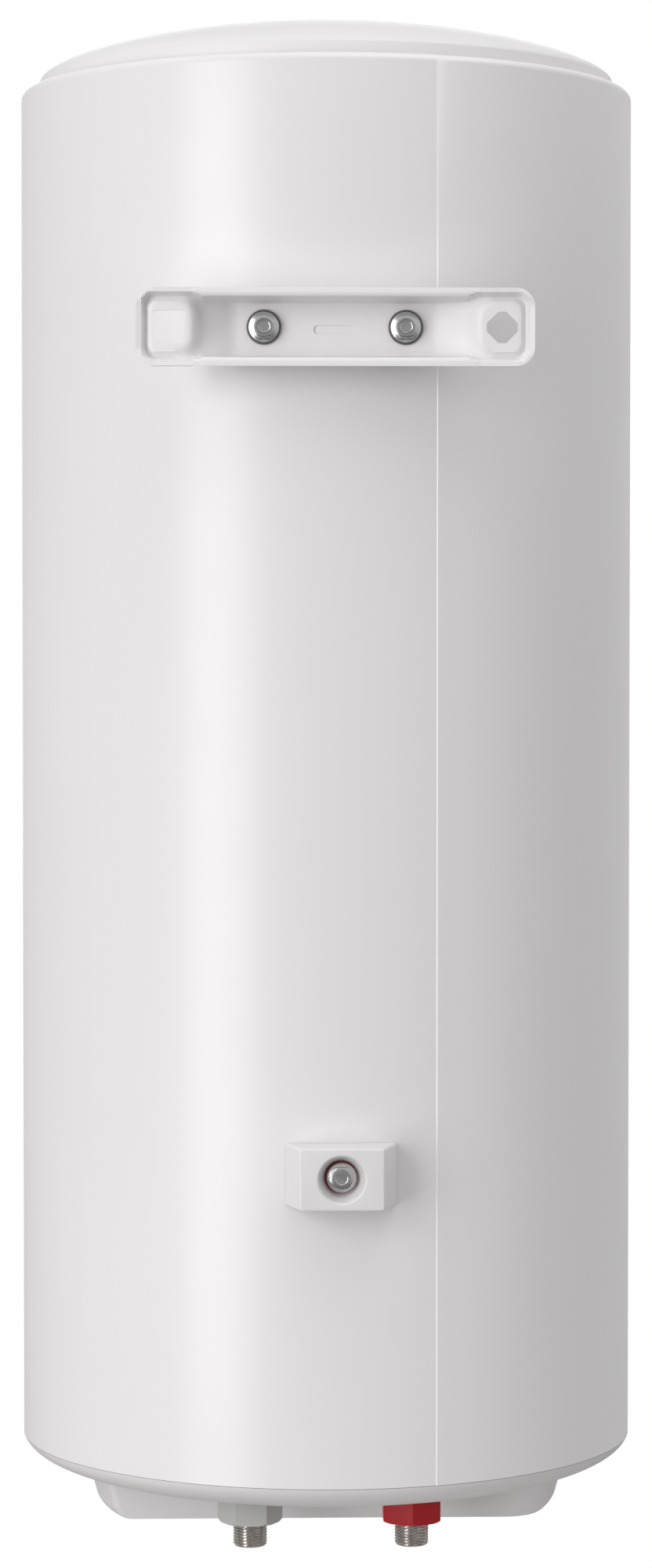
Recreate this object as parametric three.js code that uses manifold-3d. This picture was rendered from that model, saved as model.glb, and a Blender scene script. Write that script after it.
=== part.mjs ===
// Wall-hung electric storage water heater, seen from the wall side along +Y.
// Millimetres, +Z up. The origin is midway between the two hanging holes, on the wall plane.
// The heater group has its own frame: its axis on Z, the bottom of the jacket at zero, the wall at -Y.
import * as THREE from 'three';
import { mergeVertices } from 'three/addons/utils/BufferGeometryUtils.js';
import Module from 'manifold-3d';

const manifold = await Module();
manifold.setup();

// ---------------------------------------------------------------- clearances and roundness
const fitGap = 0.3;
const shaftGap = 0.3;
const cutMargin = 5;
const joinDepth = 1;
const roundSides = 40;
const flangeSides = 28;
const pipeSides = 20;
const boltSides = 12;
const pinSides = 8;
const arcSteps = 2;
const quarterTurn = Math.PI / 2;

// ---------------------------------------------------------------- driving dimensions
const jacketDiameter = 390;
const jacketHeight = 856;
const jacketSheet = 0.8;
const jacketEdgeRadius = 5;
const foamThickness = 24;
const tankSheet = 2;
const tankHeadDepth = 45;
const tankBottomLift = 12;
const wallGap = 25;
const hangDrop = 165;

const topCapRise = 43;
const topCapInset = 12;
const topCapSheet = 2;
const topCapWallHeight = 7.5;
const topCapSkirt = 14;
const domePowerAcross = 1.54;
const domePowerUp = 1.59;

const bottomCapDepth = 19;
const bottomCapSheet = 2;
const bottomCapSkirt = 10;
const bottomCapBulgeIn = 4.5;
const bottomCapBulgeUp = 6;
const pipePadHeight = 1.4;
const pipePadBorder = 4;

const hangPitch = 196;
const bracketWidth = 234;
const bracketHeight = 46;
const bracketCorner = 11;
const bracketSheet = 2.2;
const bracketRim = 5.5;
const bracketPadDepth = 3.5;
const bracketFloorHalf = 60;
const bracketRampHalf = 81;
const bracketRampDepth = 14;
const bracketPadHalf = 88;
const squareHole = 19.6;
const squareHoleCorner = 2.5;
const diamondHalf = 9.2;
const diamondClip = 2.4;
const embossLength = 25;
const embossWidth = 5.5;
const embossDepth = 0.9;
const bracketBoltSpacing = 84;
const bracketBoltRise = 1.4;

const mountBoltRadius = 4;
const mountBoltAcrossFlats = 13;
const mountBoltFlangeRadius = 9;
const mountBoltFlangeHeight = 1.4;
const mountBoltHexHeight = 4.2;
const boltTipShare = 0.8;
const boltTipLength = 0.3;
const boltFlangeEdge = 0.6;
const bracketBoltTankGap = 8;
const spacerBoltTankGap = 4.8;
const mountBossRadius = 9;
const mountWasherRadius = 10.3;
const mountWasherThickness = 1.5;

const spacerHeightAboveBottom = 189;
const spacerAcross = 3.8;
const spacerFaceWidth = 50;
const spacerFaceHeight = 36.7;
const spacerSideSlant = 11;
const spacerTopSlant = 0.7;
const spacerCorner = 1.5;
const spacerMouthRadius = 14.1;
const spacerSeatRadius = 10.2;
const spacerSeatDepth = 13.2;
const fibreWasherRadius = 9.8;
const fibreWasherThickness = 1;

const pipePitch = 100;
const pipeThreadRadius = 20.955 / 2;
const pipeBoreRadius = 7.5;
const pipeDrop = 51.5;
const pipeThreadShown = 15;
const pipeChamfer = 1.2;
const sleeveAcrossFlats = 35;
const sleeveNeckWall = 2.8;
const sleeveNeckHeight = 26;
const sleeveChamfer = 2;
const standpipeRadius = 7;
const standpipeBoreRadius = 6.1;
const diffuserWall = 3;
const diffuserHeight = 34;
const diffuserSlotWidth = 7;
const nippleInTank = 16;

const coverRadius = 153.5;
const coverChord = 65;
const coverDepth = 47.5;
const coverWall = 2.5;
const coverDraftSlope = 0.26;
const coverEdgeRadius = 9;
const coverBackEdge = 3;
const coverLeftCorner = 6;
const coverRightCorner = 24;
const capCoverBorder = 1;
const coverPipeGap = 27.8;
const coverPostEdgeInset = 38;
const coverPostChordInset = 30;
const coverPostFrontInset = 23;
const coverPostRadius = 5.5;
const coverScrewRadius = 1.7;
const coverScrewHeadRadius = 4;
const coverScrewHeadHeight = 2.4;
const coverScrewHeadEdge = 1;
const coverScrewLength = 14;

const flangeRadius = 55;
const flangeHoleGap = 3;
const flangeOpening = 36;
const flangeNeckWall = 4;
const flangeRingThickness = 8;
const flangePlateThickness = 4;
const flangeGasketThickness = 2;
const flangeBoltCount = 5;
const flangeBoltCircle = 45;
const flangeBoltRadius = 4;
const flangeBoltFlangeRadius = 8;
const flangeBoltLength = 12;
const flangeRingTop = 3;
const flangeTappingFloor = 1;
const gasketBoltGap = 1;

const elementTubeRadius = 4.2;
const elementLegPitch = 40;
const elementLength = 320;
const elementPinDrop = 3;
const terminalBeadHeight = 4;
const terminalNutRadius = 3.6;
const terminalNutHeight = 2.5;
const terminalPinRadius = 1.8;
const terminalPinEnd = 9;
const pocketRadius = 6;
const pocketBoreRadius = 4.6;
const pocketLength = 240;
const pocketOffset = 20;
const anodeRadius = 10.5;
const anodeLength = 260;
const anodeOffset = 22;
const anodeStudRadius = 4;
const anodeStudProud = 2;
const anodeLift = 8;
const anodeNutHeight = 5;

const thermostatWidth = 30;
const thermostatLength = 32;
const thermostatCorner = 3;
const thermostatFloorGap = 8.1;
const thermostatSocketDepth = 6;
const thermostatShift = 4;
const thermostatStemRadius = 3.5;
const spindleRadius = 3;
const spindleProud = 2;
const knobRadius = 18;
const knobHeight = 7.6;
const knobSkirt = 2.6;
const knobEdge = 1.5;
const knobGripWidth = 7;
const knobGripEnd = 2;
const knobGripTaper = 0.8;
const resetRadius = 2.4;
const resetTravel = 2;
const resetProud = 3;
const resetAcross = 9;
const resetAlong = 8;

const blockLength = 44;
const blockWidth = 22;
const blockHeight = 14;
const blockCorner = 1.5;
const blockWellRadius = 2.2;
const blockWellDepth = 6;
const blockWellRows = 3;
const blockAcross = -75;
const blockAlong = 62;
const lampRadius = 4;
const lampFlangeRadius = 5.6;
const lampAcross = 58;
const lampAlong = 92;
const lampProud = 1.2;
const lampEdge = 1;
const lampFlangeHeight = 1.5;
const lampHolderWall = 1;
const lampHolderCapGap = 6.9;
const glandAcross = -48;
const glandAlong = 104;
const glandBoreRadius = 4;
const glandBodyRadius = 7.6;
const glandFlangeRadius = 11.5;
const glandProud = 6;
const glandInside = 8;
const glandLip = 2;
const glandNutHeight = 4;
const earthScrewRadius = 3.4;
const earthScrewHeight = 3;
const earthScrewOut = 2.5;
const wireRadius = 1.3;
const wireEndGap = 0.9;

// ---------------------------------------------------------------- sizes that follow
const jacketRadius = jacketDiameter / 2;
const foamRadius = jacketRadius - jacketSheet - fitGap;
const tankRadius = foamRadius - foamThickness - fitGap;
const tankTop = jacketHeight + topCapRise - topCapSheet - foamThickness;
const topCapRadius = jacketRadius - topCapInset;
const wallPlane = -(jacketRadius + wallGap);
const hangHeight = jacketHeight - hangDrop;
const bracketBoltHeight = hangHeight + bracketBoltRise;
const bracketFloorDepth = wallGap - fitGap;
const bracketFloorFace = bracketFloorDepth - bracketSheet;
const sleeveCorner = sleeveAcrossFlats / Math.sqrt(3);
const pipeBack = -(coverChord + coverPipeGap + sleeveCorner);
const pipeCircle = Math.hypot(pipePitch / 2, pipeBack);
const pipeSideCircle = pipeCircle + pipeThreadRadius;
const sleeveNeckRadius = pipeThreadRadius + shaftGap + sleeveNeckWall;
const sleeveBottom = -(pipeDrop - pipeThreadShown);
const sleeveTop = -(bottomCapDepth + pipePadHeight + fitGap);
const capFlatRadius = Math.max(pipeCircle + sleeveCorner + pipePadBorder / 2, coverRadius + capCoverBorder);
const coverTop = -(bottomCapDepth + fitGap);
const coverFloorFace = -(coverDepth - coverWall);
const flangeHole = flangeRadius + flangeHoleGap;
const ringBottom = flangeRingTop - flangeRingThickness;
const plateTop = ringBottom - fitGap - flangeGasketThickness - fitGap;
const plateBottom = plateTop - flangePlateThickness;
const thermostatTop = plateBottom - fitGap;
const thermostatBottom = coverFloorFace + thermostatFloorGap;
const thermostatSocketTop = thermostatBottom + thermostatSocketDepth;
const thermostatAlong = pocketOffset + thermostatShift;
const earthScrewAlong = flangeBoltCircle + earthScrewOut;
const nippleTop = headHeight(pipeSideCircle) + nippleInTank;

// ---------------------------------------------------------------- shape helpers

/** Height of the tank's lower head above the jacket's bottom edge, at a distance from the axis. */
function headHeight(radius) {
  const share = Math.min(radius / tankRadius, 1);
  return tankBottomLift + tankHeadDepth * (1 - Math.sqrt(1 - share * share));
}

/** Turns a closed path of (radius, height) about Z, with its faces outwards. */
function turned(path, sides = roundSides, divisions = arcSteps) {
  const points = path.getPoints(divisions).filter((p, i, all) => i === 0 || p.distanceTo(all[i - 1]) > 1e-6);
  if (THREE.ShapeUtils.area(points) < 0) {
    points.reverse();
  }
  return new THREE.LatheGeometry(points, sides).rotateX(quarterTurn);
}

/** Starts a path at (radius, height) and runs it through further corners, back to the start. */
function ring(corners) {
  const path = new THREE.Path(corners.map(([radius, height]) => new THREE.Vector2(radius, height)));
  path.closePath();
  return path;
}

/** A turned tube between two heights. */
function tube(inner, outer, low, high, sides = roundSides) {
  return turned(ring([[inner, low], [outer, low], [outer, high], [inner, high]]), sides);
}

/** A turned rod between two heights, from an open path that starts and ends on the axis. */
function rod(steps, sides = boltSides) {
  const path = new THREE.Path(steps.map(([radius, height]) => new THREE.Vector2(radius, height)));
  return turned(path, sides);
}

/** A plain round bar between two heights. */
function bar(radius, low, high, sides = boltSides) {
  return rod([[0, low], [radius, low], [radius, high], [0, high]], sides);
}

/** Points along an arc, both ends included. */
function arcPoints(x, y, radius, from, to, steps) {
  return Array.from({ length: steps + 1 }, (_, i) => {
    const angle = from + ((to - from) * i) / steps;
    return new THREE.Vector2(x + radius * Math.cos(angle), y + radius * Math.sin(angle));
  });
}

/** A rectangle with round corners, counter-clockwise about its centre. */
function roundedRectangle(width, height, corner, steps = 3) {
  const x = width / 2 - corner;
  const y = height / 2 - corner;
  const centres = [[x, y], [-x, y], [-x, -y], [x, -y]];
  return centres.flatMap(([cx, cy], i) => {
    return arcPoints(cx, cy, corner, i * quarterTurn, (i + 1) * quarterTurn, steps);
  });
}

/** Joins convex outlines of equal point counts, stacked along Z from low to high, into one closed body. */
function loft(levels) {
  const count = levels[0].outline.length;
  const positions = levels.flatMap(({ outline, z }) => outline.flatMap((p) => [p.x, p.y, z]));
  const index = [];
  for (let level = 0; level + 1 < levels.length; level += 1) {
    for (let i = 0; i < count; i += 1) {
      const a = level * count + i;
      const b = level * count + ((i + 1) % count);
      index.push(a, b, b + count, a, b + count, a + count);
    }
  }
  const last = (levels.length - 1) * count;
  for (let i = 1; i + 1 < count; i += 1) {
    index.push(0, i + 1, i, last, last + i, last + i + 1);
  }
  const geometry = new THREE.BufferGeometry();
  geometry.setAttribute('position', new THREE.Float32BufferAttribute(positions, 3));
  geometry.setIndex(index);
  geometry.computeVertexNormals();
  return geometry;
}

/** A straight prism of one outline between two heights. */
function prism(outline, low, high) {
  return loft([{ outline, z: low }, { outline, z: high }]);
}

/** Turns a piece built along +Z so that it points at the wall, along -Y. */
function towardsWall(geometry) {
  return geometry.rotateX(quarterTurn);
}

/** Turns a stack built by depth along +Z into one that goes from the wall plane into the room. */
function fromWall(geometry, height) {
  return geometry.rotateX(-quarterTurn).translate(0, wallPlane, height);
}

/** A hexagonal bar with a flat, or a corner, facing the wall. */
function hexBar(acrossFlats, low, high, cornerToWall = true) {
  const start = cornerToWall ? -quarterTurn : 0;
  const outline = arcPoints(0, 0, acrossFlats / Math.sqrt(3), start, start + 2 * Math.PI, 6).slice(0, 6);
  return prism(outline, low, high);
}

/** A tube of one radius along a curve, closed at both ends. */
function cable(curve, radius, steps) {
  const section = new THREE.Shape();
  section.absarc(0, 0, radius, 0, 2 * Math.PI);
  const options = { steps, curveSegments: 3, extrudePath: curve, bevelEnabled: false };
  return new THREE.ExtrudeGeometry(section, options);
}

// ---------------------------------------------------------------- solids

/** Makes a manifold solid from a closed geometry. */
function solid(geometry) {
  const bare = geometry.clone();
  bare.deleteAttribute('normal');
  bare.deleteAttribute('uv');
  const merged = mergeVertices(bare, 1e-4);
  const corners = merged.index.array;
  const faces = [];
  for (let i = 0; i < corners.length; i += 3) {
    const [a, b, c] = corners.slice(i, i + 3);
    if (a !== b && b !== c && c !== a) {
      faces.push(a, b, c);
    }
  }
  return new manifold.Manifold(new manifold.Mesh({
    numProp: 3,
    vertProperties: new Float32Array(merged.attributes.position.array),
    triVerts: new Uint32Array(faces),
  }));
}

/** Turns a manifold solid back into a geometry. */
function shell(body) {
  const mesh = body.getMesh();
  const geometry = new THREE.BufferGeometry();
  geometry.setAttribute('position', new THREE.BufferAttribute(mesh.vertProperties, 3));
  geometry.setIndex(new THREE.BufferAttribute(mesh.triVerts, 1));
  geometry.computeVertexNormals();
  return geometry;
}

/** Joins the geometries, then takes the cutters away. */
function carved(pieces, cutters = []) {
  const joined = pieces.map(solid).reduce((whole, next) => whole.add(next));
  return shell(cutters.map(solid).reduce((whole, next) => whole.subtract(next), joined));
}

/** The part that two geometries share. */
function shared(first, second) {
  return shell(solid(first).intersect(solid(second)));
}

// ---------------------------------------------------------------- finishes
function finish(color, roughness, metalness) {
  return () => new THREE.MeshStandardMaterial({ color, roughness, metalness });
}

const whiteEnamel = finish(0xe9e8e8, 0.28, 0.05);
const whitePlastic = finish(0xe0dfdf, 0.42, 0);
const greyPlastic = finish(0x9b9b98, 0.45, 0);
const redPlastic = finish(0x9b2226, 0.42, 0);
const blackPlastic = finish(0x242426, 0.5, 0);
const creamFoam = finish(0xe8dfae, 0.9, 0);
const tankSteel = finish(0x4d5a66, 0.45, 0.4);
const zincSteel = finish(0xb9bab8, 0.3, 0.9);
const darkZinc = finish(0x4a4846, 0.45, 0.7);
const stainless = finish(0xc2c3c4, 0.25, 0.95);
const copperSheath = finish(0xb87445, 0.35, 0.9);
const magnesium = finish(0x9fa2a3, 0.6, 0.6);
const rubber = finish(0x1f1f20, 0.85, 0);
const ceramic = finish(0xe9e4d8, 0.5, 0);
const lampAmber = finish(0xd8701c, 0.2, 0);
const brownWire = finish(0x6b3f22, 0.5, 0);
const blueWire = finish(0x2a5da8, 0.5, 0);
const greenWire = finish(0x6f9a2d, 0.5, 0);

const heater = new THREE.Group();
heater.position.set(0, -wallPlane, -hangHeight);

/** Adds one named piece to the heater. */
function add(name, geometry, material, x = 0, y = 0, z = 0) {
  const mesh = new THREE.Mesh(geometry, material());
  mesh.name = name;
  mesh.position.set(x, y, z);
  heater.add(mesh);
}

// ---------------------------------------------------------------- places that repeat
const bracketBoltPlaces = [
  { side: 'left', x: -bracketBoltSpacing / 2 },
  { side: 'right', x: bracketBoltSpacing / 2 },
];
const pipePlaces = [
  { name: 'cold', x: -pipePitch / 2, cornerToWall: false, material: greyPlastic },
  { name: 'hot', x: pipePitch / 2, cornerToWall: true, material: redPlastic },
];
const coverPosts = [
  { x: -(coverRadius - coverPostEdgeInset), y: -(coverChord - coverPostChordInset) },
  { x: coverRadius - coverPostEdgeInset, y: -(coverChord - coverPostChordInset) },
  { x: 0, y: coverRadius - coverPostFrontInset },
];
const flangeBoltPlaces = Array.from({ length: flangeBoltCount }, (_, i) => {
  const angle = -quarterTurn + (i * 2 * Math.PI) / flangeBoltCount;
  return { x: flangeBoltCircle * Math.cos(angle), y: flangeBoltCircle * Math.sin(angle) };
});

// ---------------------------------------------------------------- jacket, caps, foam and tank

/** A bar towards the wall, at a height on the jacket, for a boss or for the hole around it. */
function wallBar(radius, from, to, x, height, sides = boltSides) {
  return towardsWall(bar(radius, from, to, sides)).translate(x, 0, height);
}

/** The holes that all three mounting bosses need, each a little larger than its boss. */
function bossHoles(extra) {
  const reach = jacketRadius + cutMargin;
  const start = tankRadius / 2;
  const upper = bracketBoltPlaces.map(({ x }) => {
    return wallBar(mountBossRadius + extra, start, reach, x, bracketBoltHeight);
  });
  const lower = wallBar(mountBossRadius + extra, start, reach, spacerAcross, spacerHeightAboveBottom);
  return [...upper, lower];
}

/** A vertical hole through the bottom for each water pipe. */
function pipeHoles(radius, low, high) {
  return pipePlaces.map(({ x }) => bar(radius, low, high, pipeSides).translate(x, pipeBack, 0));
}

function addJacket() {
  const edge = jacketRadius - jacketEdgeRadius;
  const lip = topCapRadius + fitGap;
  const bend = jacketHeight - jacketEdgeRadius;
  const path = new THREE.Path();
  path.moveTo(jacketRadius, 0);
  path.lineTo(jacketRadius, bend);
  path.absarc(edge, bend, jacketEdgeRadius, 0, quarterTurn, false);
  path.lineTo(lip, jacketHeight);
  path.lineTo(lip, jacketHeight - jacketSheet);
  path.absarc(edge, bend, jacketEdgeRadius - jacketSheet, quarterTurn, 0, true);
  path.lineTo(jacketRadius - jacketSheet, 0);
  path.closePath();
  add('jacket', carved([turned(path)], bossHoles(fitGap)), whiteEnamel);
}

/** Points of the cap's dome from its wall to the axis, for an outer or an inner face. */
function domePoints(radius, rise, base, steps = 6) {
  return Array.from({ length: steps + 1 }, (_, i) => {
    const angle = (quarterTurn * i) / steps;
    const across = radius * Math.abs(Math.cos(angle)) ** (2 / domePowerAcross);
    const up = rise * Math.sin(angle) ** (2 / domePowerUp);
    return [i === steps ? 0 : across, base + up];
  });
}

function addTopCap() {
  const base = jacketHeight + topCapWallHeight;
  const rise = topCapRise - topCapWallHeight;
  const low = jacketHeight - topCapSkirt;
  const inner = topCapRadius - topCapSheet;
  const outerFace = domePoints(topCapRadius, rise, base);
  const innerFace = domePoints(inner, rise - topCapSheet, base).reverse();
  const section = [...innerFace, [inner, low], [topCapRadius, low], ...outerFace];
  add('top_cap', rod(section, roundSides), whitePlastic);
}

/** The lower cap's curve from the jacket's edge to its flat middle, moved inwards by an inset. */
function bottomCapCurve(inset) {
  const start = new THREE.Vector2(jacketRadius - inset, -fitGap);
  const bulge = new THREE.Vector2(
    jacketRadius - bottomCapBulgeIn - inset,
    -(bottomCapDepth - bottomCapBulgeUp - inset),
  );
  const end = new THREE.Vector2(capFlatRadius, -(bottomCapDepth - inset));
  return new THREE.QuadraticBezierCurve(start, bulge, end).getPoints(4).map((p) => [p.x, p.y]);
}

/** The raised pad that both pipes leave through. */
function pipePad() {
  const width = pipePitch + 2 * (sleeveCorner + pipePadBorder);
  const height = 2 * (sleeveCorner + pipePadBorder);
  const outline = roundedRectangle(width, height, height / 2, 4);
  const low = -(bottomCapDepth + pipePadHeight);
  return prism(outline, low, -(bottomCapDepth - bottomCapSheet / 2)).translate(0, pipeBack, 0);
}

function addBottomCap() {
  const skirt = foamRadius;
  const inner = -(bottomCapDepth - bottomCapSheet);
  const profile = ring([
    ...bottomCapCurve(0),
    [flangeHole, -bottomCapDepth],
    [flangeHole, inner],
    ...bottomCapCurve(bottomCapSheet).reverse(),
    [skirt - bottomCapSheet, bottomCapSkirt],
    [skirt, bottomCapSkirt],
    [skirt, -fitGap],
  ]);
  const postTop = -(bottomCapDepth - bottomCapSheet / 2);
  const postEnd = coverFloorFace + fitGap;
  const posts = coverPosts.map(({ x, y }) => bar(coverPostRadius, postEnd, postTop).translate(x, y, 0));
  const pilot = coverScrewRadius + shaftGap;
  const pilots = coverPosts.map(({ x, y }) => {
    return bar(pilot, postEnd - cutMargin, postEnd + coverScrewLength, pinSides).translate(x, y, 0);
  });
  const necks = pipeHoles(sleeveNeckRadius + shaftGap, -(bottomCapDepth + cutMargin), 0);
  add('bottom_cap', carved([turned(profile), pipePad(), ...posts], [...pilots, ...necks]), whitePlastic);
}

/** Points of a tank head from the wall to the axis, for a face grown outwards by an offset. */
function headPoints(offset, upper, steps = 4) {
  const radius = tankRadius + offset;
  const depth = tankHeadDepth + offset;
  const base = upper ? tankTop - tankHeadDepth : tankBottomLift + tankHeadDepth;
  return Array.from({ length: steps + 1 }, (_, i) => {
    const angle = (quarterTurn * i) / steps;
    const across = i === steps ? 0 : radius * Math.cos(angle);
    return [across, base + (upper ? 1 : -1) * depth * Math.sin(angle)];
  });
}

/** The whole space that the tank fills, grown outwards by an offset. */
function tankForm(offset) {
  return rod([...headPoints(offset, false).reverse(), ...headPoints(offset, true)], roundSides);
}

function addFoam() {
  const inside = topCapRadius - topCapSheet - fitGap;
  const shoulder = jacketHeight - topCapSkirt - fitGap;
  const base = jacketHeight + topCapWallHeight;
  const rise = topCapRise - topCapWallHeight - topCapSheet - fitGap;
  const low = -(bottomCapDepth - bottomCapSheet) + cutMargin;
  const block = rod([
    [0, low],
    [capFlatRadius, low],
    [foamRadius - 2 * bottomCapSheet, bottomCapSkirt + fitGap],
    [foamRadius, bottomCapSkirt + fitGap],
    [foamRadius, shoulder],
    [inside, shoulder],
    ...domePoints(inside, rise, base),
  ], roundSides);
  const holes = [
    tankForm(fitGap),
    bar(flangeHole, low - cutMargin, tankTop / 2, flangeSides),
    ...bossHoles(fitGap),
    ...pipeHoles(sleeveNeckRadius + shaftGap, low - cutMargin, nippleTop),
  ];
  add('foam_insulation', carved([block], holes), creamFoam);
}

function addTank() {
  const holes = [
    tankForm(-tankSheet),
    bar(flangeOpening + flangeNeckWall + fitGap, 0, tankTop / 2, flangeSides),
    ...pipeHoles(pipeThreadRadius + fitGap, -pipeDrop, nippleTop),
  ];
  add('tank_shell', carved([tankForm(0)], holes), tankSteel);
}

// ---------------------------------------------------------------- wall bracket and its bolts

/** The bracket's side profile, across and in depth from the wall, for the back or the front of the sheet. */
function channelOutline(depthCut, overWall) {
  const half = bracketWidth;
  const side = [
    [half, -overWall],
    [half, bracketPadDepth + bracketSheet - depthCut],
    [bracketPadHalf, bracketPadDepth + bracketSheet - depthCut],
    [bracketRampHalf, bracketRampDepth + bracketSheet - depthCut],
    [bracketFloorHalf, bracketFloorDepth - depthCut],
  ];
  const mirrored = side.map(([x, d]) => [-x, d]).reverse();
  return [...side, ...mirrored].map(([x, d]) => new THREE.Vector2(x, d));
}

/** A channel profile run the whole height of the bracket. */
function channelPrism(depthCut, overWall) {
  const shape = new THREE.Shape(channelOutline(depthCut, overWall));
  const geometry = new THREE.ExtrudeGeometry(shape, { depth: 2 * bracketHeight, bevelEnabled: false });
  return geometry.translate(0, wallPlane, hangHeight - bracketHeight);
}

/** A slab with the bracket's outline, moved in by an inset, between two depths from the wall. */
function bracketSlab(inset, from, to) {
  const corner = bracketCorner - inset;
  const outline = roundedRectangle(bracketWidth - 2 * inset, bracketHeight - 2 * inset, corner, 4);
  return fromWall(prism(outline, from, to), hangHeight);
}

/** A cutter with any outline through the bracket, at a distance across. */
function bracketCut(outline, x, from, to) {
  return fromWall(prism(outline, from, to).translate(x, 0, 0), hangHeight);
}

/** A square on its corner with its four tips cut off. */
function clippedDiamond() {
  const tips = [[1, 0], [0, 1], [-1, 0], [0, -1]];
  return tips.flatMap(([x, y]) => [-1, 1].map((side) => {
    const along = side * diamondClip;
    return new THREE.Vector2(x * diamondHalf - y * along, y * diamondHalf + x * along);
  }));
}

function addBracket() {
  const through = wallGap + cutMargin;
  const outside = bracketSlab(bracketRim - bracketSheet, 0, through);
  const body = shared(outside, channelPrism(0, cutMargin));
  const inside = bracketSlab(bracketRim, -cutMargin, through);
  const cavity = shared(inside, channelPrism(bracketSheet, 2 * cutMargin));
  const square = roundedRectangle(squareHole, squareHole, squareHoleCorner);
  const slot = roundedRectangle(embossLength, embossWidth, embossWidth / 2);
  const boltHole = mountBoltRadius + 2 * shaftGap;
  const cuts = [
    cavity,
    bracketCut(square, -hangPitch / 2, -cutMargin, through),
    bracketCut(clippedDiamond(), hangPitch / 2, -cutMargin, through),
    bracketCut(slot, 0, 0, bracketFloorFace + embossDepth),
    ...bracketBoltPlaces.map(({ x }) => {
      return wallBar(boltHole, jacketRadius - cutMargin, -wallPlane, x, bracketBoltHeight);
    }),
  ];
  add('wall_bracket', carved([bracketSlab(0, 0, bracketSheet), body], cuts), whiteEnamel);
}

/** A flanged hexagon bolt seated at height zero, with its head up. */
function flangedBolt(radius, length, flange, flangeHeight, acrossFlats, hexHeight) {
  const shank = rod([
    [0, -length],
    [radius * boltTipShare, -length],
    [radius, -length + radius * boltTipLength],
    [radius, 0],
    [flange, 0],
    [flange, flangeHeight * boltFlangeEdge],
    [acrossFlats / 2, flangeHeight],
    [0, flangeHeight],
  ]);
  return carved([shank, hexBar(acrossFlats, flangeHeight / 2, flangeHeight + hexHeight, false)]);
}

function mountBolt(length) {
  return flangedBolt(mountBoltRadius, length, mountBoltFlangeRadius, mountBoltFlangeHeight,
    mountBoltAcrossFlats, mountBoltHexHeight);
}

/** A tapped boss on the tank's side, ending at a distance from the axis. */
function mountBoss(x, height, end, bottom) {
  const blank = wallBar(mountBossRadius, tankRadius / 2, end, x, height);
  const tapping = wallBar(mountBoltRadius + shaftGap, bottom, end + cutMargin, x, height);
  const reach = 3 * mountBossRadius;
  const tank = bar(tankRadius + fitGap, height - reach, height + reach, roundSides);
  return carved([blank], [tank, tapping]);
}

function addBracketFixings() {
  const floor = -wallPlane - bracketFloorFace;
  const washerSeat = floor + fitGap;
  const boltSeat = washerSeat + mountWasherThickness + fitGap;
  const boltEnd = tankRadius + bracketBoltTankGap;
  const hole = mountBoltRadius + 2 * shaftGap;
  const washer = tube(hole, mountWasherRadius, 0, mountWasherThickness, pipeSides);
  for (const { side, x } of bracketBoltPlaces) {
    const boss = mountBoss(x, bracketBoltHeight, jacketRadius, boltEnd - fitGap);
    const bolt = mountBolt(boltSeat - boltEnd);
    add(`bracket_boss_${side}`, boss, tankSteel);
    add(`bracket_washer_${side}`, towardsWall(washer.clone()), darkZinc, x, -washerSeat, bracketBoltHeight);
    add(`bracket_bolt_${side}`, towardsWall(bolt), zincSteel, x, -boltSeat, bracketBoltHeight);
  }
}

// ---------------------------------------------------------------- lower spacer block and its bolt

function addSpacer() {
  const back = wallGap + spacerSideSlant;
  const face = roundedRectangle(spacerFaceWidth, spacerFaceHeight, spacerCorner, 2);
  const base = roundedRectangle(spacerFaceWidth + 2 * spacerSideSlant,
    spacerFaceHeight + 2 * spacerTopSlant, spacerCorner, 2);
  const form = loft([{ outline: face, z: 0 }, { outline: base, z: back }]);
  const block = fromWall(form.translate(spacerAcross, 0, 0), spacerHeightAboveBottom);
  const hole = mountBoltRadius + 2 * shaftGap;
  const mouthSlope = (spacerMouthRadius - spacerSeatRadius) / spacerSeatDepth;
  const recess = rod([
    [0, -cutMargin],
    [spacerMouthRadius + mouthSlope * cutMargin, -cutMargin],
    [spacerSeatRadius, spacerSeatDepth],
    [hole, spacerSeatDepth],
    [hole, back + cutMargin],
    [0, back + cutMargin],
  ], pipeSides).translate(spacerAcross, 0, 0);
  const jacket = bar(jacketRadius + fitGap, 0, jacketHeight, roundSides);
  const cuts = [fromWall(recess, spacerHeightAboveBottom), jacket];
  add('lower_spacer', carved([block], cuts), whitePlastic);
}

function addSpacerFixings() {
  const height = spacerHeightAboveBottom;
  const seat = -wallPlane - spacerSeatDepth + fitGap;
  const boltSeat = seat + fibreWasherThickness + fitGap;
  const boltEnd = tankRadius + spacerBoltTankGap;
  const hole = mountBoltRadius + 2 * shaftGap;
  const washer = tube(hole, fibreWasherRadius, 0, fibreWasherThickness, pipeSides);
  const x = spacerAcross;
  const boss = mountBoss(x, height, jacketRadius - jacketSheet - fitGap, boltEnd - fitGap);
  add('spacer_boss', boss, tankSteel);
  add('spacer_fibre_washer', towardsWall(washer), redPlastic, x, -seat, height);
  add('spacer_bolt', towardsWall(mountBolt(boltSeat - boltEnd)), zincSteel, x, -boltSeat, height);
}

// ---------------------------------------------------------------- water pipes

function addNipple(name, x) {
  const path = ring([
    [pipeBoreRadius, -pipeDrop],
    [pipeThreadRadius - pipeChamfer, -pipeDrop],
    [pipeThreadRadius, -pipeDrop + pipeChamfer],
    [pipeThreadRadius, nippleTop],
    [pipeBoreRadius, nippleTop],
  ]);
  add(`${name}_nipple`, turned(path, pipeSides), stainless, x, pipeBack, 0);
}

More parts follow.
